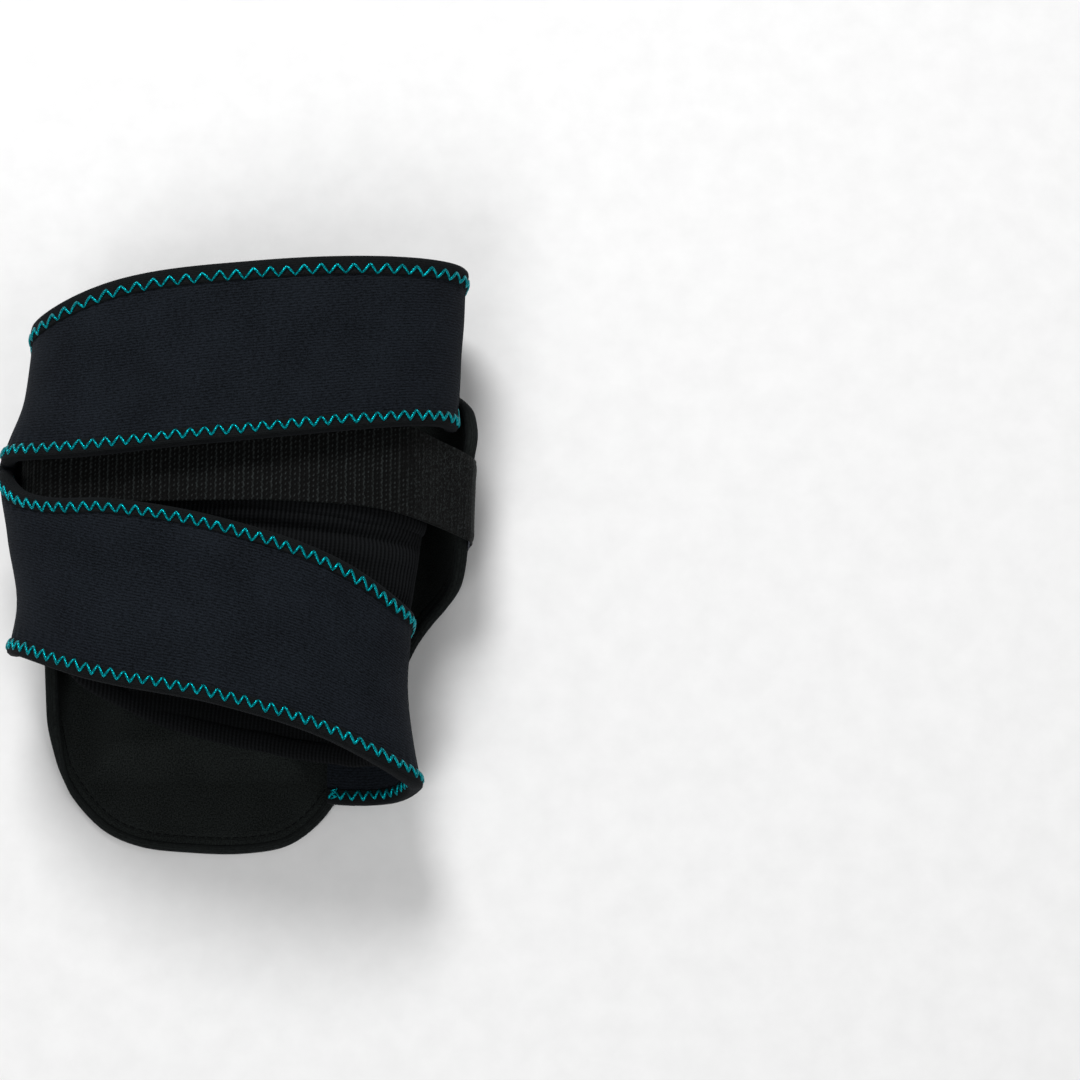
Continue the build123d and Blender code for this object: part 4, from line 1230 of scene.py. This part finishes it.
def stitches_on(place, line, lift):
    """Straight stitches along a line of a patch."""
    length = run_along(line)
    made = []
    for start in np.arange(0.3, length[-1] - PATCH_PITCH, PATCH_PITCH):
        at = start + np.linspace(0, PATCH_PITCH * 0.76, 6)
        a, b = (np.interp(at, length, line[:, k]) for k in (0, 1))
        bow = lift + np.sin(np.linspace(0, math.pi, 6)) * 0.3 - 0.1
        path = place(a, b, bow)
        made.append(thread_rings(path, place(a, b, bow + 1) - path, 0.22, 6))
    return made


def bartack(name, arm, node, length):
    """Dense zigzag that holds the root's foot down, on its inner face."""
    low = edge_y(arm, False, 0.06) + 1.9
    high = low + length
    turns = int(length / 0.56)
    at = np.linspace(0, turns, turns * 6 + 1)
    part, swing = to_and_fro(at)
    s = 0.035 + 0.045 * swing
    y = low + (high - low) * at / turns
    height = -ARM_THICKNESS - 0.5 - 0.28 * np.sin(math.pi * part)
    path = panel_point(arm, s, y, height)
    above = panel_point(arm, s, y, height - 1) - path
    piece = tube_mesh(name, thread_rings(path, above, 0.3, 6), TEAL, "thread_teal", "root")
    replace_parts(piece, node)


SEAM_BASE_Z = 12.95      # underside of the strips, on the lining


def seam_strips():
    """Cloth strips that hold the sleeve and the elastic down on the lining, each with two rows of stitches."""
    def strip(name, node, middle, size, surface, seed):
        def place(a, b, lift):
            x, y = a + middle[0], b + middle[1]
            return points_of(x, y, SEAM_BASE_Z + (surface(x) - SEAM_BASE_Z) * lift)

        def soft(a, b, rim):
            return 0.04 * waves(a, b, seed, 9)

        piece = patch(name, place, *size, 0.0, 1.0, BINDING, "thread_black", "root", 2.0, 0.8, soft)
        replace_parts(piece, node)
        rows = []
        for side in (-1, 1):
            line = points_of(side * (size[0] / 2 - 1.2), np.linspace(-size[1] / 2 + 1, size[1] / 2 - 1, 120))

            def foot(a, b, lift):
                return points_of(a + middle[0] + side * 0.9, b + middle[1], 13.0 + lift)

            rows += stitches_on(foot, line, 0.15)
        thread = stitches_mesh(name + "_stitches", rows, BLACK_THREAD, "thread_black", "root")
        thread.parent = piece

    def under_sleeve(x):
        return 37.4 - 22.1 * np.sqrt(1 - np.clip((x + 4) / 63, -0.9, 0.9) ** 2) + 0.2

    def under_elastic(x):
        return 38.0 - 25 * np.sqrt(1 - np.clip((x + 1) / 69, -0.9, 0.9) ** 2) + 0.4

    strip("sleeve_seam_strip", "sleeve_seam", (-4, -25), (20, 56), under_sleeve, 61)
    strip("elastic_seam_strip", "elastic_anchor_seam", (-30.5, 29), (11, 23), under_elastic, 62)


cold_pack()
pocket_pieces()
side_pieces()
bartack("upper_bartack", "upper", "upper_root_bartack", 32)
bartack("lower_bartack", "lower", "lower_root_bartack", 3.3)
seam_strips()


# Floor, light and camera

def studio():
    stone = Nodes("pale_floor")
    grain = stone.noise(stone.place(), 90.0)
    tone = stone.ramp(grain, [(0.3, (0.86, 0.86, 0.86)), (0.7, (0.9, 0.9, 0.9))])
    stone.link(tone, stone.shader.inputs["Base Color"])
    stone.set(stone.shader, Roughness=0.9, Specular_IOR_Level=0.1)
    mesh = bpy.data.meshes.new("floor")
    corners = [(x * 3.0, y * 3.0, 0) for x, y in ((-1, -1), (1, -1), (1, 1), (-1, 1))]
    mesh.from_pydata(corners, [], [(0, 1, 2, 3)])
    mesh.materials.append(stone.material)
    floor = bpy.data.objects.new("floor", mesh)
    bpy.context.scene.collection.objects.link(floor)

    world = bpy.data.worlds.new("studio")
    world.use_nodes = True
    world.node_tree.nodes["Background"].inputs["Color"].default_value = (1, 1, 1, 1)
    world.node_tree.nodes["Background"].inputs["Strength"].default_value = 0.26
    bpy.context.scene.world = world

    def lamp(name, place, size, power, aim=(0, 0, 0.03)):
        light = bpy.data.lights.new(name, "AREA")
        light.shape = "DISK"
        light.size = size
        light.energy = power
        lamp_object = bpy.data.objects.new(name, light)
        lamp_object.location = place
        lamp_object.rotation_euler = (Vector(aim) - Vector(place)).to_track_quat("-Z", "Y").to_euler()
        bpy.context.scene.collection.objects.link(lamp_object)

    lamp("key_softbox", (-0.15, 1.05, 1.15), 0.55, 17)
    lamp("fill_softbox", (0.9, -0.3, 1.1), 0.8, 3)
    lamp("front_softbox", (-0.45, -0.85, 1.2), 0.8, 7)

    camera = bpy.data.cameras.new("camera")
    camera.lens = 90
    camera.sensor_width = 36
    camera.clip_start = 0.05
    camera_object = bpy.data.objects.new("camera", camera)
    camera_object.location = (0.1022, -0.1870, 0.9366)
    camera_object.rotation_euler = (math.radians(12), 0, 0)
    bpy.context.scene.collection.objects.link(camera_object)
    bpy.context.scene.camera = camera_object
    bpy.context.scene.view_settings.view_transform = "Standard"


studio()
